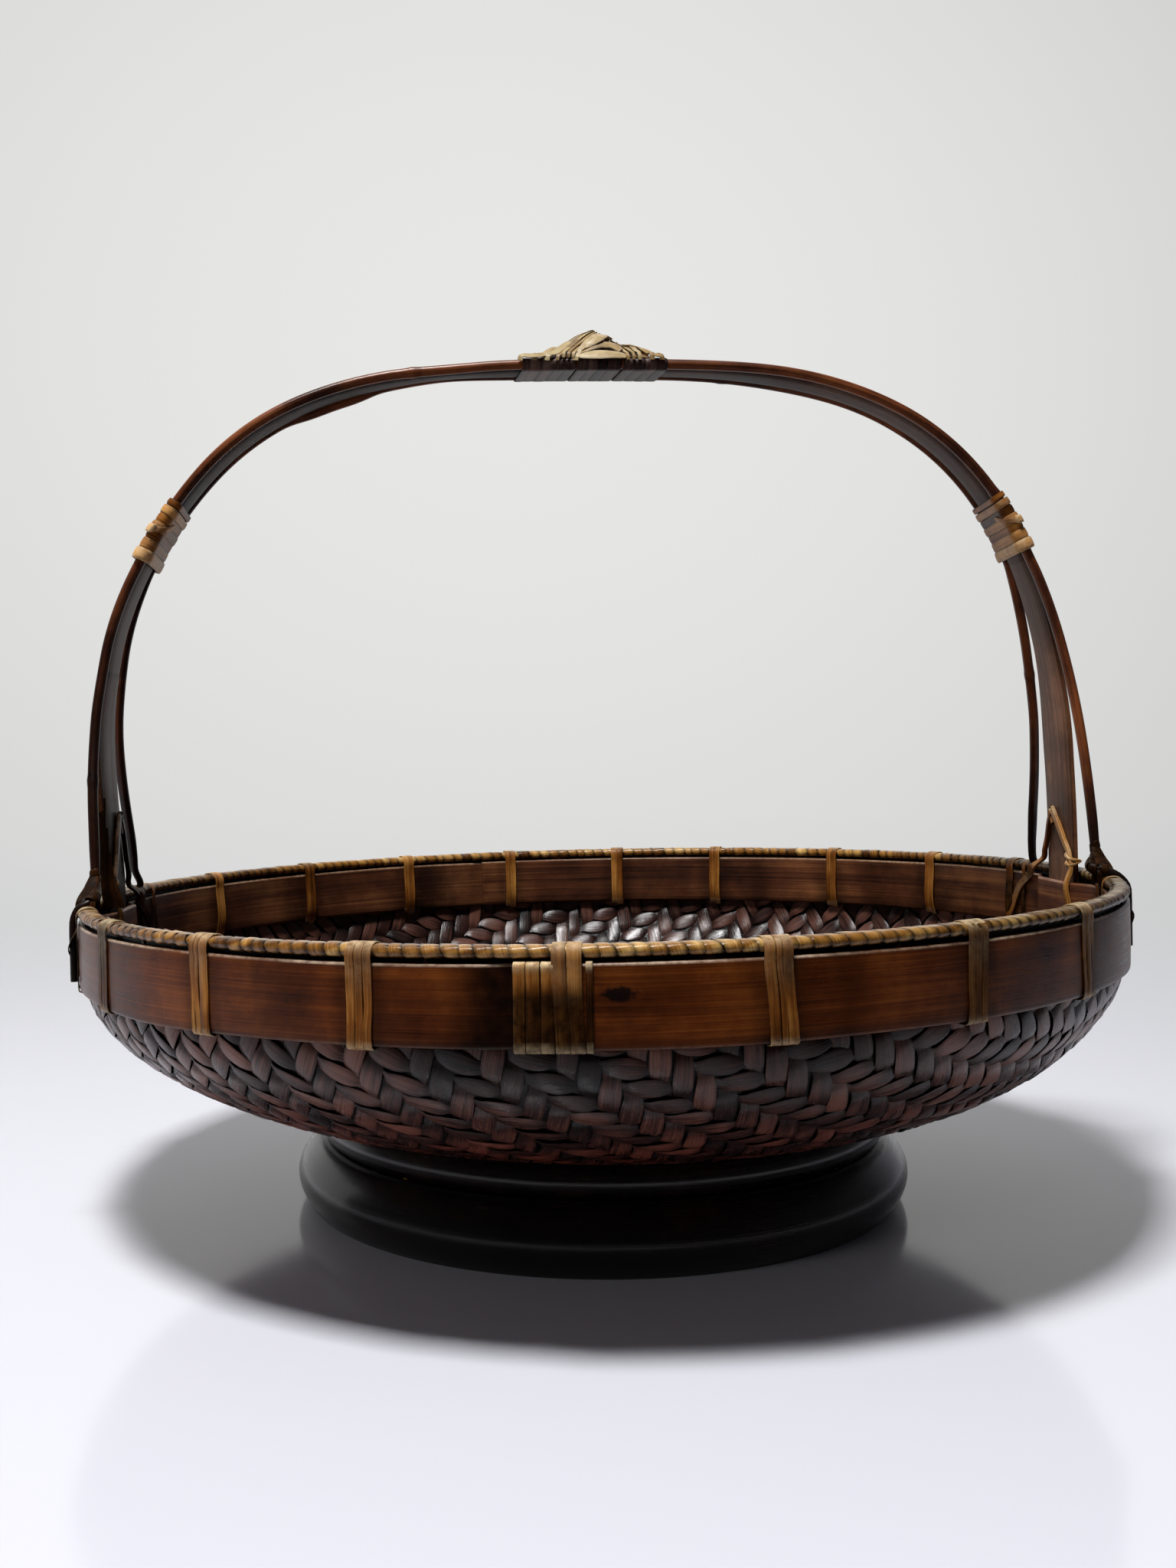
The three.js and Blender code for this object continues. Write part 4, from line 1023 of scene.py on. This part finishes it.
# How far each leg of a rod, by its sides of X and Y, stands nearer the strip than the CAD's
rod_pull_heights = [128, 140, 150, 165, 190, 215, 240, 262]
rod_pulls = {(1, -1): [0.5, 0.3, 0.0, 0.0, 0.0, 0.4, 0.3, 0.0],
             (1, 1): [-1.0, -1.6, -1.8, -0.8, -0.2, -2.1, -2.0, 0.0],
             (-1, -1): [-1.0, 0.0, 0.5, 1.5, 5.5, 5.0, 2.0, 0.0],
             (-1, 1): [-4.0, -4.6, -4.1, -2.2, -0.6, -0.3, 0.0, 0.0]}
rod_leg_heights = [136, 140, 144, 150, 158, 168, 180, 192, 205, 218, 230, 242, 252]
# By the side of X: from the band's face to the middle of a rod's end, and how thin that end is
ROD_CLEAR = {1: 2.7, -1: 1.7}
ROD_SLIM = {1: 0.84, -1: 0.7}
# The rear rods sink into the rim roll, and the right one slants towards the strip below it
REAR_SUNK = 2.3
REAR_SLANT = (1.0, 0.98, 0.95, 0.91, 0.87, 0.83, 0.79)


def rod_leg(side_x, side_y):
    """The leg of one rod from its low end, outside the band and over the rim, to the splay's top."""
    end = RIM_RADIUS + ROD_CLEAR[side_x]
    sunk = REAR_SUNK if side_y > 0 else 0.0
    # radius, height, share of the rods' azimuth
    over = [(end, 99.6, 1.0), (end, 106, 1.0), (end, 113, 1.0), (end, 119, 1.0),
            (end - 0.4, 123.5 - sunk / 2, 1.0), (RIM_RADIUS - 0.6, 127.2 - sunk, 0.99),
            (RIM_RADIUS - 4.6, 129.3 - sunk, 0.975)]
    if side_x > 0 and side_y > 0:
        over = [(radius, height, share) for (radius, height, _), share in zip(over, REAR_SLANT)]
    elif side_x > 0:
        over.append((RIM_RADIUS - 10.0, 130.6, 0.96))
    points = [polar(ROD_AZIMUTH * side_y * share, radius, height) for radius, height, share in over]
    beside = float(strip_half(ROD_SPLAY_TOP)) + FIT + ROD_RADIUS
    for height in rod_leg_heights:
        distance = at_height(height)
        pull = np.interp(height, rod_pull_heights, rod_pulls[side_x, side_y])
        share = (ROD_SPLAY_TOP - height) / (ROD_SPLAY_TOP - ROD_KNEE)
        across = side_y * (beside + ROD_SPLAY * share - pull)
        points.append(on_arch(distance, across * float(twist(distance)), across))
    points = np.array(points)
    points[:, 0] *= side_x
    return points


def rod_path(side):
    """The whole line of a rod, from its right end over the arch to its left end."""
    splay_top = at_height(ROD_SPLAY_TOP)
    distance = np.linspace(splay_top, ARCH_LENGTH - splay_top, 240)
    across = side * rod_across(height_at(distance))
    out = across * twist(distance)
    if side > 0:
        depth, place, reach = REAR_DIP
        out = out - depth * np.exp(-((x_at(distance) - place) / reach) ** 4)
    arch = on_arch(distance, out, across)
    return through(np.concatenate([rod_leg(1, side), arch, rod_leg(-1, side)[::-1]]), 1.6)


def rod(side, places):
    """A round rod with nodes at places along it, slim at its ends and dark towards them."""
    path = rod_path(side)
    length = length_along(path)
    angle = np.arange(12) / 12 * 2 * math.pi
    section = ROD_RADIUS * np.stack([np.sin(angle), np.cos(angle)], -1)
    knots = nodes_of(length, places, 1.8)
    line = nodes_of(length, [place - 2 for place in places], 1.0)
    right = path[:, 0] > 0
    slim = np.where(right, ROD_SLIM[1], ROD_SLIM[-1])
    slim = slim + (1 - slim) * smooth(path[:, 2], 128, 150)
    scale = (1 + 0.14 * knots + wander(len(path), 30, 0.03)) * slim
    rings = sweep(path, np.array([0.0, 1.0, 0.0]), section, scale, scale)
    low = 1 - smooth((path[:, 2] - 125) / (np.where(right, 205, 345) - 125), 0, 1)
    tone = 0.78 - 0.6 * low + wander(len(path), 40, 0.14)
    return one_strand(rings, tone=tone, grime=0.6 * line + 0.7 * low)


for label, side, places in (("front", -1, FRONT_NODES), ("rear", 1, REAR_NODES)):
    piece(f"rod_{label}", rod(side, places), rod_bamboo, f"handle_rod_{label}")


# Ties of the rods at the rim

# Dark strands fanned from a front rod: shift in degrees, place inside the rim, tone
FAN = ((0.3, 9.3, 0.05), (-0.5, 7.56, 0.1), (0.5, 5.88, 0.0), (-0.3, 4.32, 0.075),
       (0.2, 2.88, 0.05))
FAN_OUT = {1: 0.0, -1: 2.2}
FAN_HEIGHT, FAN_END = 128.4, 124.5
# Braces from the left leg's front edge, coloured fully dark as painted shade: place inside the rim,
# height on the edge
BRACES = ((13.5, 146), (11.2, 156), (9.0, 168))


def dark_cane(strands, points, width, wide, tone=0.0, thickness=FLAT_CANE, step=None):
    """A strand coloured fully dark, through its points if a step is given."""
    path = np.column_stack([points, np.ones(len(points)), np.zeros(len(points))])
    path = through(path, step) if step else path
    flat_cane(strands, path, width, wide, tone, thickness=thickness, stain=1.0)


def rod_coil(side_x):
    """Dark turns round a front rod where it comes down on the rim, and the fan at its foot."""
    mirror = np.array([side_x, 1.0, 1.0])
    inwards = np.array([1.0, 0.0, 0.0])

    def build(strands):
        leg = through(rod_leg(side_x, -1), 0.8)
        leg = leg[(leg[:, 2] > COIL_BOTTOM) & (leg[:, 2] < COIL_TOP)]
        tangent = unit(np.gradient(leg, axis=0))
        first = unit(np.cross(tangent, np.array([0.0, 1.0, 0.0])))
        count = 90
        at = np.linspace(0, len(leg) - 1, count)
        angle = np.linspace(0, 2 * math.pi * COIL_TURNS, count)[:, None]
        middle, tangents, first, second = (
            rows_at(at, np.arange(len(leg)), rows)
            for rows in (leg, tangent, first, np.cross(tangent, first)))
        reach = 0.84 * ROD_RADIUS + 0.15 + 0.35 * (1 - smooth(middle[:, 2], 128, 137))[:, None]
        coil = middle + reach * (np.cos(angle) * first + np.sin(angle) * second)
        dark_cane(strands, coil, 3.3, tangents, thickness=0.45)
        for shift, inside, tone in FAN:
            radius = RIM_RADIUS - inside + FAN_OUT[side_x]
            foot = polar(-ROD_AZIMUTH * 0.97 + shift, radius, FAN_HEIGHT) * mirror
            fan = [leg[-1], 0.55 * leg[-1] + 0.45 * foot, foot, [foot[0], foot[1], FAN_END]]
            dark_cane(strands, fan, 2.8, inwards, tone, 0.7, step=0.8)
        # The braces are coloured fully dark, as painted shade.
        for inside, height in BRACES if side_x < 0 else ():
            edge = on_arch(at_height(height), 0.0, -float(strip_half(height)) + 1.5)
            foot = polar(-5.0, RIM_RADIUS - inside, 128.0)
            brace = [edge, 0.5 * (edge + foot) + np.array([0.8, -0.5, 0.0]), foot,
                     foot + np.array([-1.0, 0.0, -4.0])]
            dark_cane(strands, np.array(brace) * mirror, 3.2, inwards, thickness=0.8, step=0.9)
    return build


# Places of a rod tie's passes beside its rod
rod_side = ROD_RADIUS + FIT + 1.25 + 0.3
rod_passes = [(-rod_side - 2.6, -rod_side - 2.6, 2.3), (-rod_side, rod_side, 2.6),
              (rod_side + 2.8, rod_side + 2.8, 2.5)]
rod_corners = [("right_rear", 1), ("left_rear", -1), ("left_front", -1), ("right_front", 1)]
for (label, side_x), azimuth in zip(rod_corners, rod_azimuths):
    tie(f"rod_tie_{label}", azimuth, rod_passes, ROD_CLEAR[side_x] + ROD_SLIM[side_x] * ROD_RADIUS,
        tone=0.35, extra=rod_coil(side_x) if "front" in label else None, stain=ROD_SOOT)


# Lashings of the handle

def wound_cane(strands, centres, widths, slant=0.0, tones=None, lift=0.0, wears=None, edge_shade=0.85,
               thickness=FLAT_CANE):
    """Flat cane wound round the strip and both rods, with its turns at places along the arch."""
    turns = len(centres)
    lifts = np.broadcast_to(lift, (turns,))
    tones = rng.normal(0.5, 0.14, turns) if tones is None else np.asarray(tones)
    wears = np.zeros(turns) if wears is None else np.asarray(wears)
    corner = np.radians(np.linspace(-90, 90, 7))
    flat = np.linspace(1, -1, 9)[1:-1]
    # out, side, in from the rod's middle line, share of the way to the next turn
    loop = [(math.sin(a), 1, math.cos(a), 0.0) for a in corner[::-1]]
    loop += [(-1.0, f, 0.0, 0.0) for f in flat]
    loop += [(math.sin(a), -1, math.cos(a), 0.0) for a in corner]
    loop += [(1.0, -f, 0.0, (i + 1) / 8) for i, f in enumerate(flat)]
    points = []
    for turn in range(turns):
        after = min(turn + 1, turns - 1)
        reach = ROD_RADIUS + 0.3 + lifts[turn]
        for out, side, in_from, share in loop:
            out, in_from = out * reach, in_from * reach
            where = centres[turn] + (centres[after] - centres[turn]) * share
            middle_line = rod_across(float(height_at(where)))
            across = side * middle_line + math.copysign(in_from, side)
            where = where + slant * across / (middle_line + reach)
            mixed = [values[turn] * (1 - share) + values[after] * share
                     for values in (widths, wears, tones)]
            points.append((where, out, across, *mixed))
    points = np.array(points)
    out = points[:, 1] + wander(len(points), 11, 0.05) + points[:, 2] * twist(points[:, 0])
    place = on_arch(points[:, 0], out, points[:, 2])
    fine = through(np.column_stack([place, points[:, 3:], points[:, 0]]), 1.2)
    flat_cane(strands, fine, 1.0, arch_tangent(fine[:, 6]), fine[:, 5], edge_shade, thickness=thickness)


shoulder = at_height(SHOULDER_HEIGHT)
shoulder_steps = np.array([-12.3, -8.9, -5.2, -1.5, 2.2, 6.2, 10.7])
shoulder_widths = [2.6, 3.5, 4.1, 4.0, 4.1, 4.5, 4.9]
shoulder_tones = [0.5, 0.8, 0.5, 0.75, 0.5, 0.75, 1.0]
shoulder_lifts = [0.3, 0.6, 0.25, 0.6, 0.3, 0.6, 1.2]
shoulder_wears = [0, 0.2, 0, 0.15, 0, 0.1, 0.45]


def shoulder_lashing(side):
    """Seven turns, the last one widest, with a small crossing turn and a tucked end in front."""
    strands = Strands()
    middle = shoulder if side > 0 else ARCH_LENGTH - shoulder
    wound_cane(strands, middle - side * shoulder_steps, shoulder_widths, slant=-0.8 * side,
               tones=shoulder_tones, lift=shoulder_lifts, wears=shoulder_wears, thickness=1.2)
    across = -float(rod_across(SHOULDER_HEIGHT))
    base = middle + side * 1.6
    reach = ROD_RADIUS + 1.5
    wide = arch_tangent(base)

    def lay(places, wear, step, width, tone, edge_shade, thickness):
        """A short strand by [along, share of the reach out, of the reach across, across] places."""
        path = [[*on_arch(base + side * along, out * reach, across + aside * reach + shift), 1.0, wear]
                for along, out, aside, shift in places]
        flat_cane(strands, through(path, step), width, wide, tone, edge_shade, thickness=thickness)

    lay([(3.4, -1, 0, 5.5), (2.2, -1, 0, 1.5), (0.6, -0.7, -0.7, 0), (-1.2, 0.3, -0.98, 0),
         (-3.0, 1, 0, 1.0)], 0.2, 0.9, 2.4, 0.5, 0.8, FLAT_CANE)
    lay([(-0.4, 0.1, -1.0, 0), (-0.9, 0.45, -1.22, 0), (-1.2, 0.9, -0.75, 0),
         (-1.3, 1.15, 0, -0.2)], 0.6, 0.6, 3.4, 1.0, 0.3, 0.9)
    return strands


for label, side in (("right", 1), ("left", -1)):
    piece(f"shoulder_cane_{label}", shoulder_lashing(side), tie_cane,
          f"shoulder_lashing_{label}")

crown = ARCH_LENGTH / 2
crown_places = np.array([27.2, 22.7, 18.2, 13.6, 7.4, 2.6, -1.4, -5.4, -11.0, -15.4, -20.1, -24.9,
                         -28.6])
crown_widths = [4.7, 4.9, 4.9, 4.7, 5.6, 4.4, 4.2, 4.4, 5.5, 4.9, 5.0, 5.0, 3.4]
# The crown's turns are painted in shade: darkened cane with full edge shade.
crown_winding = Strands()
wound_cane(crown_winding, crown - crown_places, crown_widths, slant=1.5, edge_shade=1.0)
piece("crown_cane", crown_winding, painted_shade_cane, "crown_lashing")


# Knot on the crown

ridge_places = [-30, -26, -21.6, -18.3, -15.5, -11, -8.2, -4.9, -1, 1.3, 4.6, 7.4, 10.8, 13, 16.3,
                20.3, 23, 27, 31]
ridge_heights = [0.3, 1.0, 2.2, 3.9, 5.6, 6.4, 8.4, 10.4, 11.8, 12.4, 10.8, 9.4, 8.0, 6.6, 6.6, 5.6,
                 3.9, 1.8, 0.3]
KNOT_HALF = 12.4
SIGHT_SLOPE = 0.25


def tent(along, across):
    """Height of the knot's surface over the rods' upper side."""
    ridge = np.interp(along, ridge_places, ridge_heights)
    share = np.clip(np.abs(across) / KNOT_HALF, 0, 1)
    return ridge * (1 - share ** 1.35)


def tent_across(along, rise):
    """Where the tent's front side stands at a height, as looked at a little from below."""
    across = np.linspace(-KNOT_HALF, 0, 120)
    seen = tent(along, across) - SIGHT_SLOPE * (across + KNOT_HALF)
    reached = np.nonzero(seen >= min(rise, seen.max()))[0]
    return float(across[reached[0]])


def knot_ribbon(strands, places, width, tone, mirror=True, wear=0.0):
    """A flat ribbon over the crown through [along, height in the front view, lift, width] places."""
    points = [[along, tent_across(along, rise), lift, share] for along, rise, lift, share in places]
    along, rise, lift, share = places[0]
    points.insert(0, [along - 0.1 * (places[1][0] - along), -KNOT_HALF - 0.1, lift - 1.6, share])
    if mirror:
        points[-1][1] = 0.0
        points += [[u, -v, lift, share] for u, v, lift, share in points[-2::-1]]
    points = np.array(points, float)
    up = tent(points[:, 0], points[:, 1]) + points[:, 2] + ROD_RADIUS + 0.6
    place = on_arch(crown - points[:, 0], up, points[:, 1])
    worn_and_lit = np.full(len(place), wear)
    fine = through(np.column_stack([place, points[:, 3], worn_and_lit, points[:, 1]]), 0.8)
    slope = 0.75 * np.tanh(fine[:, 5] / 3.5)
    normal = np.stack([0 * slope, slope, np.sqrt(1 - slope ** 2)], -1)
    tangent = unit(np.gradient(fine[:, :3], axis=0))
    flat_cane(strands, fine, width, np.cross(tangent, normal), tone, 1.0, KNOT_CANE, edge_power=4)


def knot_core():
    """The dark body of hidden strands inside the knot, its darkness painted shade seen through the
    gaps.
    """
    along = np.linspace(-28, 28, 29)
    across = np.linspace(-1, 1, 11)
    rings = []
    for u in along:
        roof = on_arch(crown - u, ROD_RADIUS + 0.95 * tent(u, 11.6 * across), 10.8 * across)
        base = on_arch(crown - u, ROD_RADIUS - 0.6, np.array([9.6, -9.6]))
        rings.append(np.concatenate([roof, base]))
    return np.array(rings)


# Ribbons that rise from the left: places of [along, height], width, lift, tone
left_ribbons = [
    ([(-29.5, 0.0), (-25.5, 0.4), (-21.6, 1.4), (-16, 3.4), (-10, 6.4), (-5, 12)], 3.2, 0.3, 0.85),
    ([(-23.6, 0.0), (-20, 0.7), (-16, 2.0), (-11.5, 4.4), (-7, 7.6), (-3, 12)], 3.3, 0.55, 0.4),
    ([(-18.6, 0.0), (-15.5, 0.9), (-12, 2.6), (-8.5, 5.0), (-4.5, 8), (-1, 12)], 3.3, 0.8, 0.95),
    ([(-14.4, 0.0), (-12, 0.9), (-9, 2.7), (-5.8, 5.2), (-2.2, 8.2), (1.2, 12)], 2.2, 1.05, 0.35)]
thin_strands = [
    ([(-11.9, 0.0), (-10.8, 1.2), (-8.3, 3.2), (-5, 5.8), (-1.5, 8), (1.5, 12)], 1.35, 0.9, 0.8),
    ([(-10.0, 0.0), (-8.8, 1.3), (-6.6, 3.0), (-3.8, 5.0), (-0.8, 7.2), (2.6, 12)], 1.35, 0.9, 0.4),
    ([(-8.0, 0.0), (-6.8, 1.1), (-4.8, 2.5), (-2.4, 4.0), (0.4, 6.2), (3.8, 12)], 1.35, 0.9, 0.7)]
right_strands = [
    ([(14.4, 0.0), (13.4, 1.8), (11.6, 3.2), (8.8, 4.2), (6.5, 12)], 1.8, 0.0, 0.6),
    ([(16.8, 0.0), (15.8, 2.0), (13.8, 3.8), (10.8, 5.0), (8.5, 12)], 1.8, 0.2, 0.4),
    ([(19.3, 0.0), (18.3, 2.0), (16.1, 4.0), (12.9, 5.4), (10.5, 12)], 2.1, 0.4, 0.7),
    ([(24.4, 0.0), (23.4, 1.9), (20.8, 3.7), (17.4, 5.0), (13.5, 12)], 2.9, 0.7, 0.5),
    ([(28.4, 0.0), (27.0, 0.8), (24.4, 2.4), (20.6, 4.6), (15.8, 12)], 3.0, 0.8, 0.8)]
# The broad ribbons in front: places of [along, height, lift, share of the width]
under_facet = [(-6.0, 0.4, 0.2, 0.4), (-3.0, 1.8, 0.6, 0.8), (1.0, 3.0, 0.9, 1.0),
               (5.0, 3.4, 1.0, 1.0), (9.0, 3.0, 0.9, 0.9), (12.0, 1.8, 0.4, 0.7)]
facet = [(-5.4, 0.9, 0.9, 0.25), (-2.4, 2.8, 1.5, 0.6), (2.0, 5.2, 1.9, 0.95), (5.8, 6.8, 1.5, 0.9),
         (8.0, 12, 0.7, 0.55)]
low_band = [(-7.0, 0.0, -0.3, 0.5), (-4, 0.0, 0.2, 0.8), (2, 0.0, 0.5, 1.0), (7, 0.0, 0.5, 1.0),
            (11, 0.0, 0.2, 0.8), (13.6, 0.0, -0.3, 0.5)]


def crown_knot():
    """Diagonal ribbons rising from the left to a ridge, with arched strands on the right."""
    knot = Strands()
    # Painted shade: the dark core fills the gaps between the ribbons.
    knot.add(knot_core(), tone=0.1, grime=0.55)
    # foot: shares of the lift and of the width at a strand's first places
    for group, foot, wear in ((left_ribbons, [(-0.3, 0.7), (0.3, 0.9)], 0.12),
                              (thin_strands, [], 0.1),
                              (right_strands, [(0.1, 0.7), (0.5, 0.9)], 0.1)):
        for line, width, lift, tone in group:
            shares = foot + [(1.0, 1.0)] * (len(line) - len(foot))
            knot_ribbon(knot, [(u, h, lift * part, share) for (u, h), (part, share)
                               in zip(line, shares)], width, tone, wear=wear)
    knot_ribbon(knot, under_facet, 4.4, 0.6, mirror=False, wear=0.2)
    knot_ribbon(knot, facet, 6.6, 0.8, wear=0.25)
    knot_ribbon(knot, low_band, 5.4, 0.85, mirror=False, wear=0.2)
    back = np.array([[*on_arch(crown + u, ROD_RADIUS + 1.3 + h, 11.0), share, 0.2]
                     for u, h, _, share in low_band])
    flat_cane(knot, through(back, 0.8), 3.3, np.array([0.0, 0.4, 0.9]), 0.7, 1.0, KNOT_CANE)
    return knot


piece("crown_braid", crown_knot(), pale_cane, "crown_knot")


# Lashings of the legs

LEG_FACE = STRIP_THICKNESS / 2 + STRIP_DISH + 0.5


def leg(across, height, lift=0.0, width=1.0, wear=0.0):
    """A place on the inner face of the right leg."""
    return [*on_arch(at_height(height), -LEG_FACE - lift, across), width, wear]


def rim(azimuth, clear, height, width=1.0, wear=0.0):
    """A place inside the inner band, clear of it by some millimetres."""
    radius = INNER_BAND_INNER - float(leg_swell(np.array(azimuth))) - clear
    return [*polar(azimuth, radius, height), width, wear]


# Strands over the right leg's inner face and down the inner band
front_strand = [
    leg(3.0, 146.5, 0.0, 0.8), leg(5.2, 151.5, 0.15, 1.0, 0.3), leg(3.2, 152.6, 0.4, 1.0, 0.5),
    leg(0.2, 149.6, 0.3, 1.0, 0.2), leg(-8.0, 140.5, 0.2), leg(-14.4, 132.8, 0.3, 0.9, 0.3),
    leg(-15.6, 128.0, 0.5, 0.8), rim(-4.9, 0.7, 121.5, 0.85), rim(-5.3, 0.5, 112, 0.95),
    rim(-5.5, 0.5, 101.5), rim(-5.5, -0.6, 98.4)]
edge_loop = [
    leg(-11.6, 134.6, 0.5, 1.0, 0.3), leg(-14.2, 132.8, 1.2, 1.0, 0.6),
    leg(-15.9, 132.0, -0.6, 1.0, 0.3), leg(-14.9, 131.2, -4.0), leg(-15.9, 130.0, -0.8, 1.0, 0.2),
    leg(-15.0, 129.6, 1.5, 1.0, 0.5), leg(-12.6, 130.8, 1.0)]
rear_strand = [
    leg(4.0, 151.0, 0.2, 0.8), leg(6.6, 147.5, 0.1, 0.7), leg(9.8, 139.5, 0.1, 0.7),
    leg(12.8, 134.5, 0.0, 0.8), leg(16.8, 131.0, -1.0, 0.9), rim(7.2, 3.0, 126.0, 1.0, 0.1),
    rim(10.0, 1.4, 121.5, 1.0, 0.2), rim(12.6, 0.8, 115.5, 1.0, 0.2), rim(14.7, 0.5, 104.0),
    rim(15.4, 0.4, 100.5), rim(15.6, -0.6, 98.4)]


def leg_lashing(side):
    """Cane in a V over a leg's inner face, from the inner band to a turn round the front edge."""
    strands = Strands()
    # points, width, thickness, shift of the low end along Y, tone
    for points, width, thick, shift, tone in (
            (front_strand, 3.2, 1.9, 0.0, 0.85), (edge_loop, 2.2, 1.1, 0.0, 0.95),
            (rear_strand, 2.4, 1.6, 0.0, 0.5), (rear_strand, 2.4, 1.6, -2.2, 0.6)):
        points = np.array(points)
        if shift:
            spread_low = smooth(points[:, 2], 133, 124)
            points[:, 1] += shift * spread_low
            points[:, 0] -= 0.55 * (1 - spread_low)
        if side < 0:
            raised = smooth(points[:, 2], 131, 153)
            points[:, 2] += 8.0 * raised
            points[:, 0] -= 0.6 * raised
            points[:, 0] *= -1
            points[:, 4] = 0
        fine = through(points, 1.0)
        flat_cane(strands, fine, width, around_rim(fine), tone, 0.5, thickness=thick,
                  stain=0.15 if side > 0 else 1.1)
    return strands


for label, side in (("right", 1), ("left", -1)):
    piece(f"leg_cane_{label}", leg_lashing(side), tie_cane, f"leg_lashing_{label}")


# CAD solids that stay

kept = [(name, plain_dark) for name in ("base_slat_across", "base_slat_along", "rim_core")]
kept += [(f"foot_peg_{number}", plain_pale) for number in range(1, 5)]
for name, material in kept:
    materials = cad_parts[name].data.materials
    materials.clear()
    materials.append(material)


# Stage, light and camera

def stage_material():
    """Glossy pale floor, dark in front for rays other than the camera's, and a glowing backdrop."""
    tree = Tree(bpy.data.materials.new("stage_pale"))
    place = tree.add("ShaderNodeTexCoord").outputs["Object"]
    parts = tree.axes(place)
    rays = tree.add("ShaderNodeLightPath").outputs
    ahead = tree.math("MAXIMUM", tree.spread(parts["Y"], -0.44, -0.2), rays["Is Camera Ray"])
    tree.put(tree.shader, "Base Color", tree.mix(ahead, srgb(*FLOOR_DARK), srgb(*FLOOR_PALE)))
    tree.put(tree.shader, "Roughness", tree.spread(tree.noise(place, 30.0), 0.3, 0.7, 0.09, 0.13))
    seen = tree.math("MAXIMUM", rays["Is Camera Ray"], rays["Is Glossy Ray"])
    seen = tree.math("MAXIMUM", seen, rays["Is Transmission Ray"])
    far = tree.times(tree.spread(parts["Y"], 0.35, 1.3), seen)
    far = tree.times(far, tree.spread(parts["X"], 0.98, 1.3, 1.0, 0.0))
    # The backdrop's glow is brightest in its middle and fades to the sides, top and bottom: a painted
    # pool of light.
    side = tree.times(parts["X"], parts["X"])
    rise = tree.math("SUBTRACT", parts["Z"], 0.75)
    away = tree.plus(tree.times(side, 0.35), tree.times(tree.times(rise, rise), 0.5))
    away = tree.spread(away, 0.0, 0.6)
    wall = tree.mix(away, srgb(*BACKDROP_MIDDLE), srgb(*BACKDROP_EDGE))
    glow = tree.add("ShaderNodeEmission", {"Color": wall, "Strength": 1.0}).outputs[0]
    tree.show(tree.add("ShaderNodeMixShader", {0: far, 1: tree.shader.outputs[0], 2: glow}),
              "Material Output")
    return tree.owner


def stage_sheet():
    """A floor that turns up into a plain backdrop behind the basket, in metres."""
    bend, back, half_width = 0.5, 1.0, 4.0
    rows = [(-3.0, 0.0), (0.3, 0.0)] + [(back + bend * math.sin(a), bend * (1 - math.cos(a)))
                                        for a in np.linspace(0, math.pi / 2, 24)]
    rows += [(back + bend, 4.0)]
    points = [(x, y, z) for y, z in rows for x in (-half_width, half_width)]
    faces = [(2 * i, 2 * i + 1, 2 * i + 3, 2 * i + 2) for i in range(len(rows) - 1)]
    floor = smooth_object("stage_floor", points, faces, stage_material())


stage_sheet()


def area_light(name, place, target, size, power, mirrored=True):
    """A rectangular lamp aimed at a target, in metres and watts. Glossy rays see it if mirrored."""
    light = bpy.data.lights.new(name, "AREA")
    light.shape = "RECTANGLE"
    light.size, light.size_y = size
    light.energy = power
    obj = bpy.data.objects.new(name, light)
    obj.location = place
    direction = Vector(target) - Vector(place)
    obj.rotation_euler = direction.to_track_quat("-Z", "Y").to_euler()
    obj.visible_glossy = mirrored
    bpy.context.scene.collection.objects.link(obj)


area_light("ceiling", (-0.3, -0.52, 1.9), (0, 0, 0.1), (0.36, 0.36), 41)
area_light("left_fill", (-1.7, -1.05, 0.3), (0, 0, 0.15), (0.9, 0.6), 8, mirrored=False)

# The room is plain grey to the camera and dark to other rays, least so at the back
room = Tree(bpy.data.worlds.new("soft_room"), "Background")
behind = room.axes(room.add("ShaderNodeTexCoord").outputs["Generated"])["Y"]
room.put(room.shader, "Color", ROOM_GLOW)
room.put(room.shader, "Strength", room.spread(behind, -0.75, 0.5, 0.015, 0.08))
plain = room.add("ShaderNodeBackground", {"Color": srgb(*ROOM_GREY)}).outputs[0]
is_camera = room.add("ShaderNodeLightPath").outputs["Is Camera Ray"]
room.show(room.add("ShaderNodeMixShader", {0: is_camera, 1: room.shader.outputs[0], 2: plain}),
          "World Output")
bpy.context.scene.world = room.owner

camera_data = bpy.data.cameras.new("photo_camera")
camera_data.sensor_width, camera_data.lens = CAMERA_SENSOR, CAMERA_LENS
camera = bpy.data.objects.new("photo_camera", camera_data)
camera.location = CAMERA_PLACE
camera.rotation_euler = (math.radians(90 - CAMERA_DOWN), 0.0, math.radians(CAMERA_TURN))
bpy.context.scene.collection.objects.link(camera)
bpy.context.scene.camera = camera
bpy.context.scene.view_settings.view_transform = "Standard"
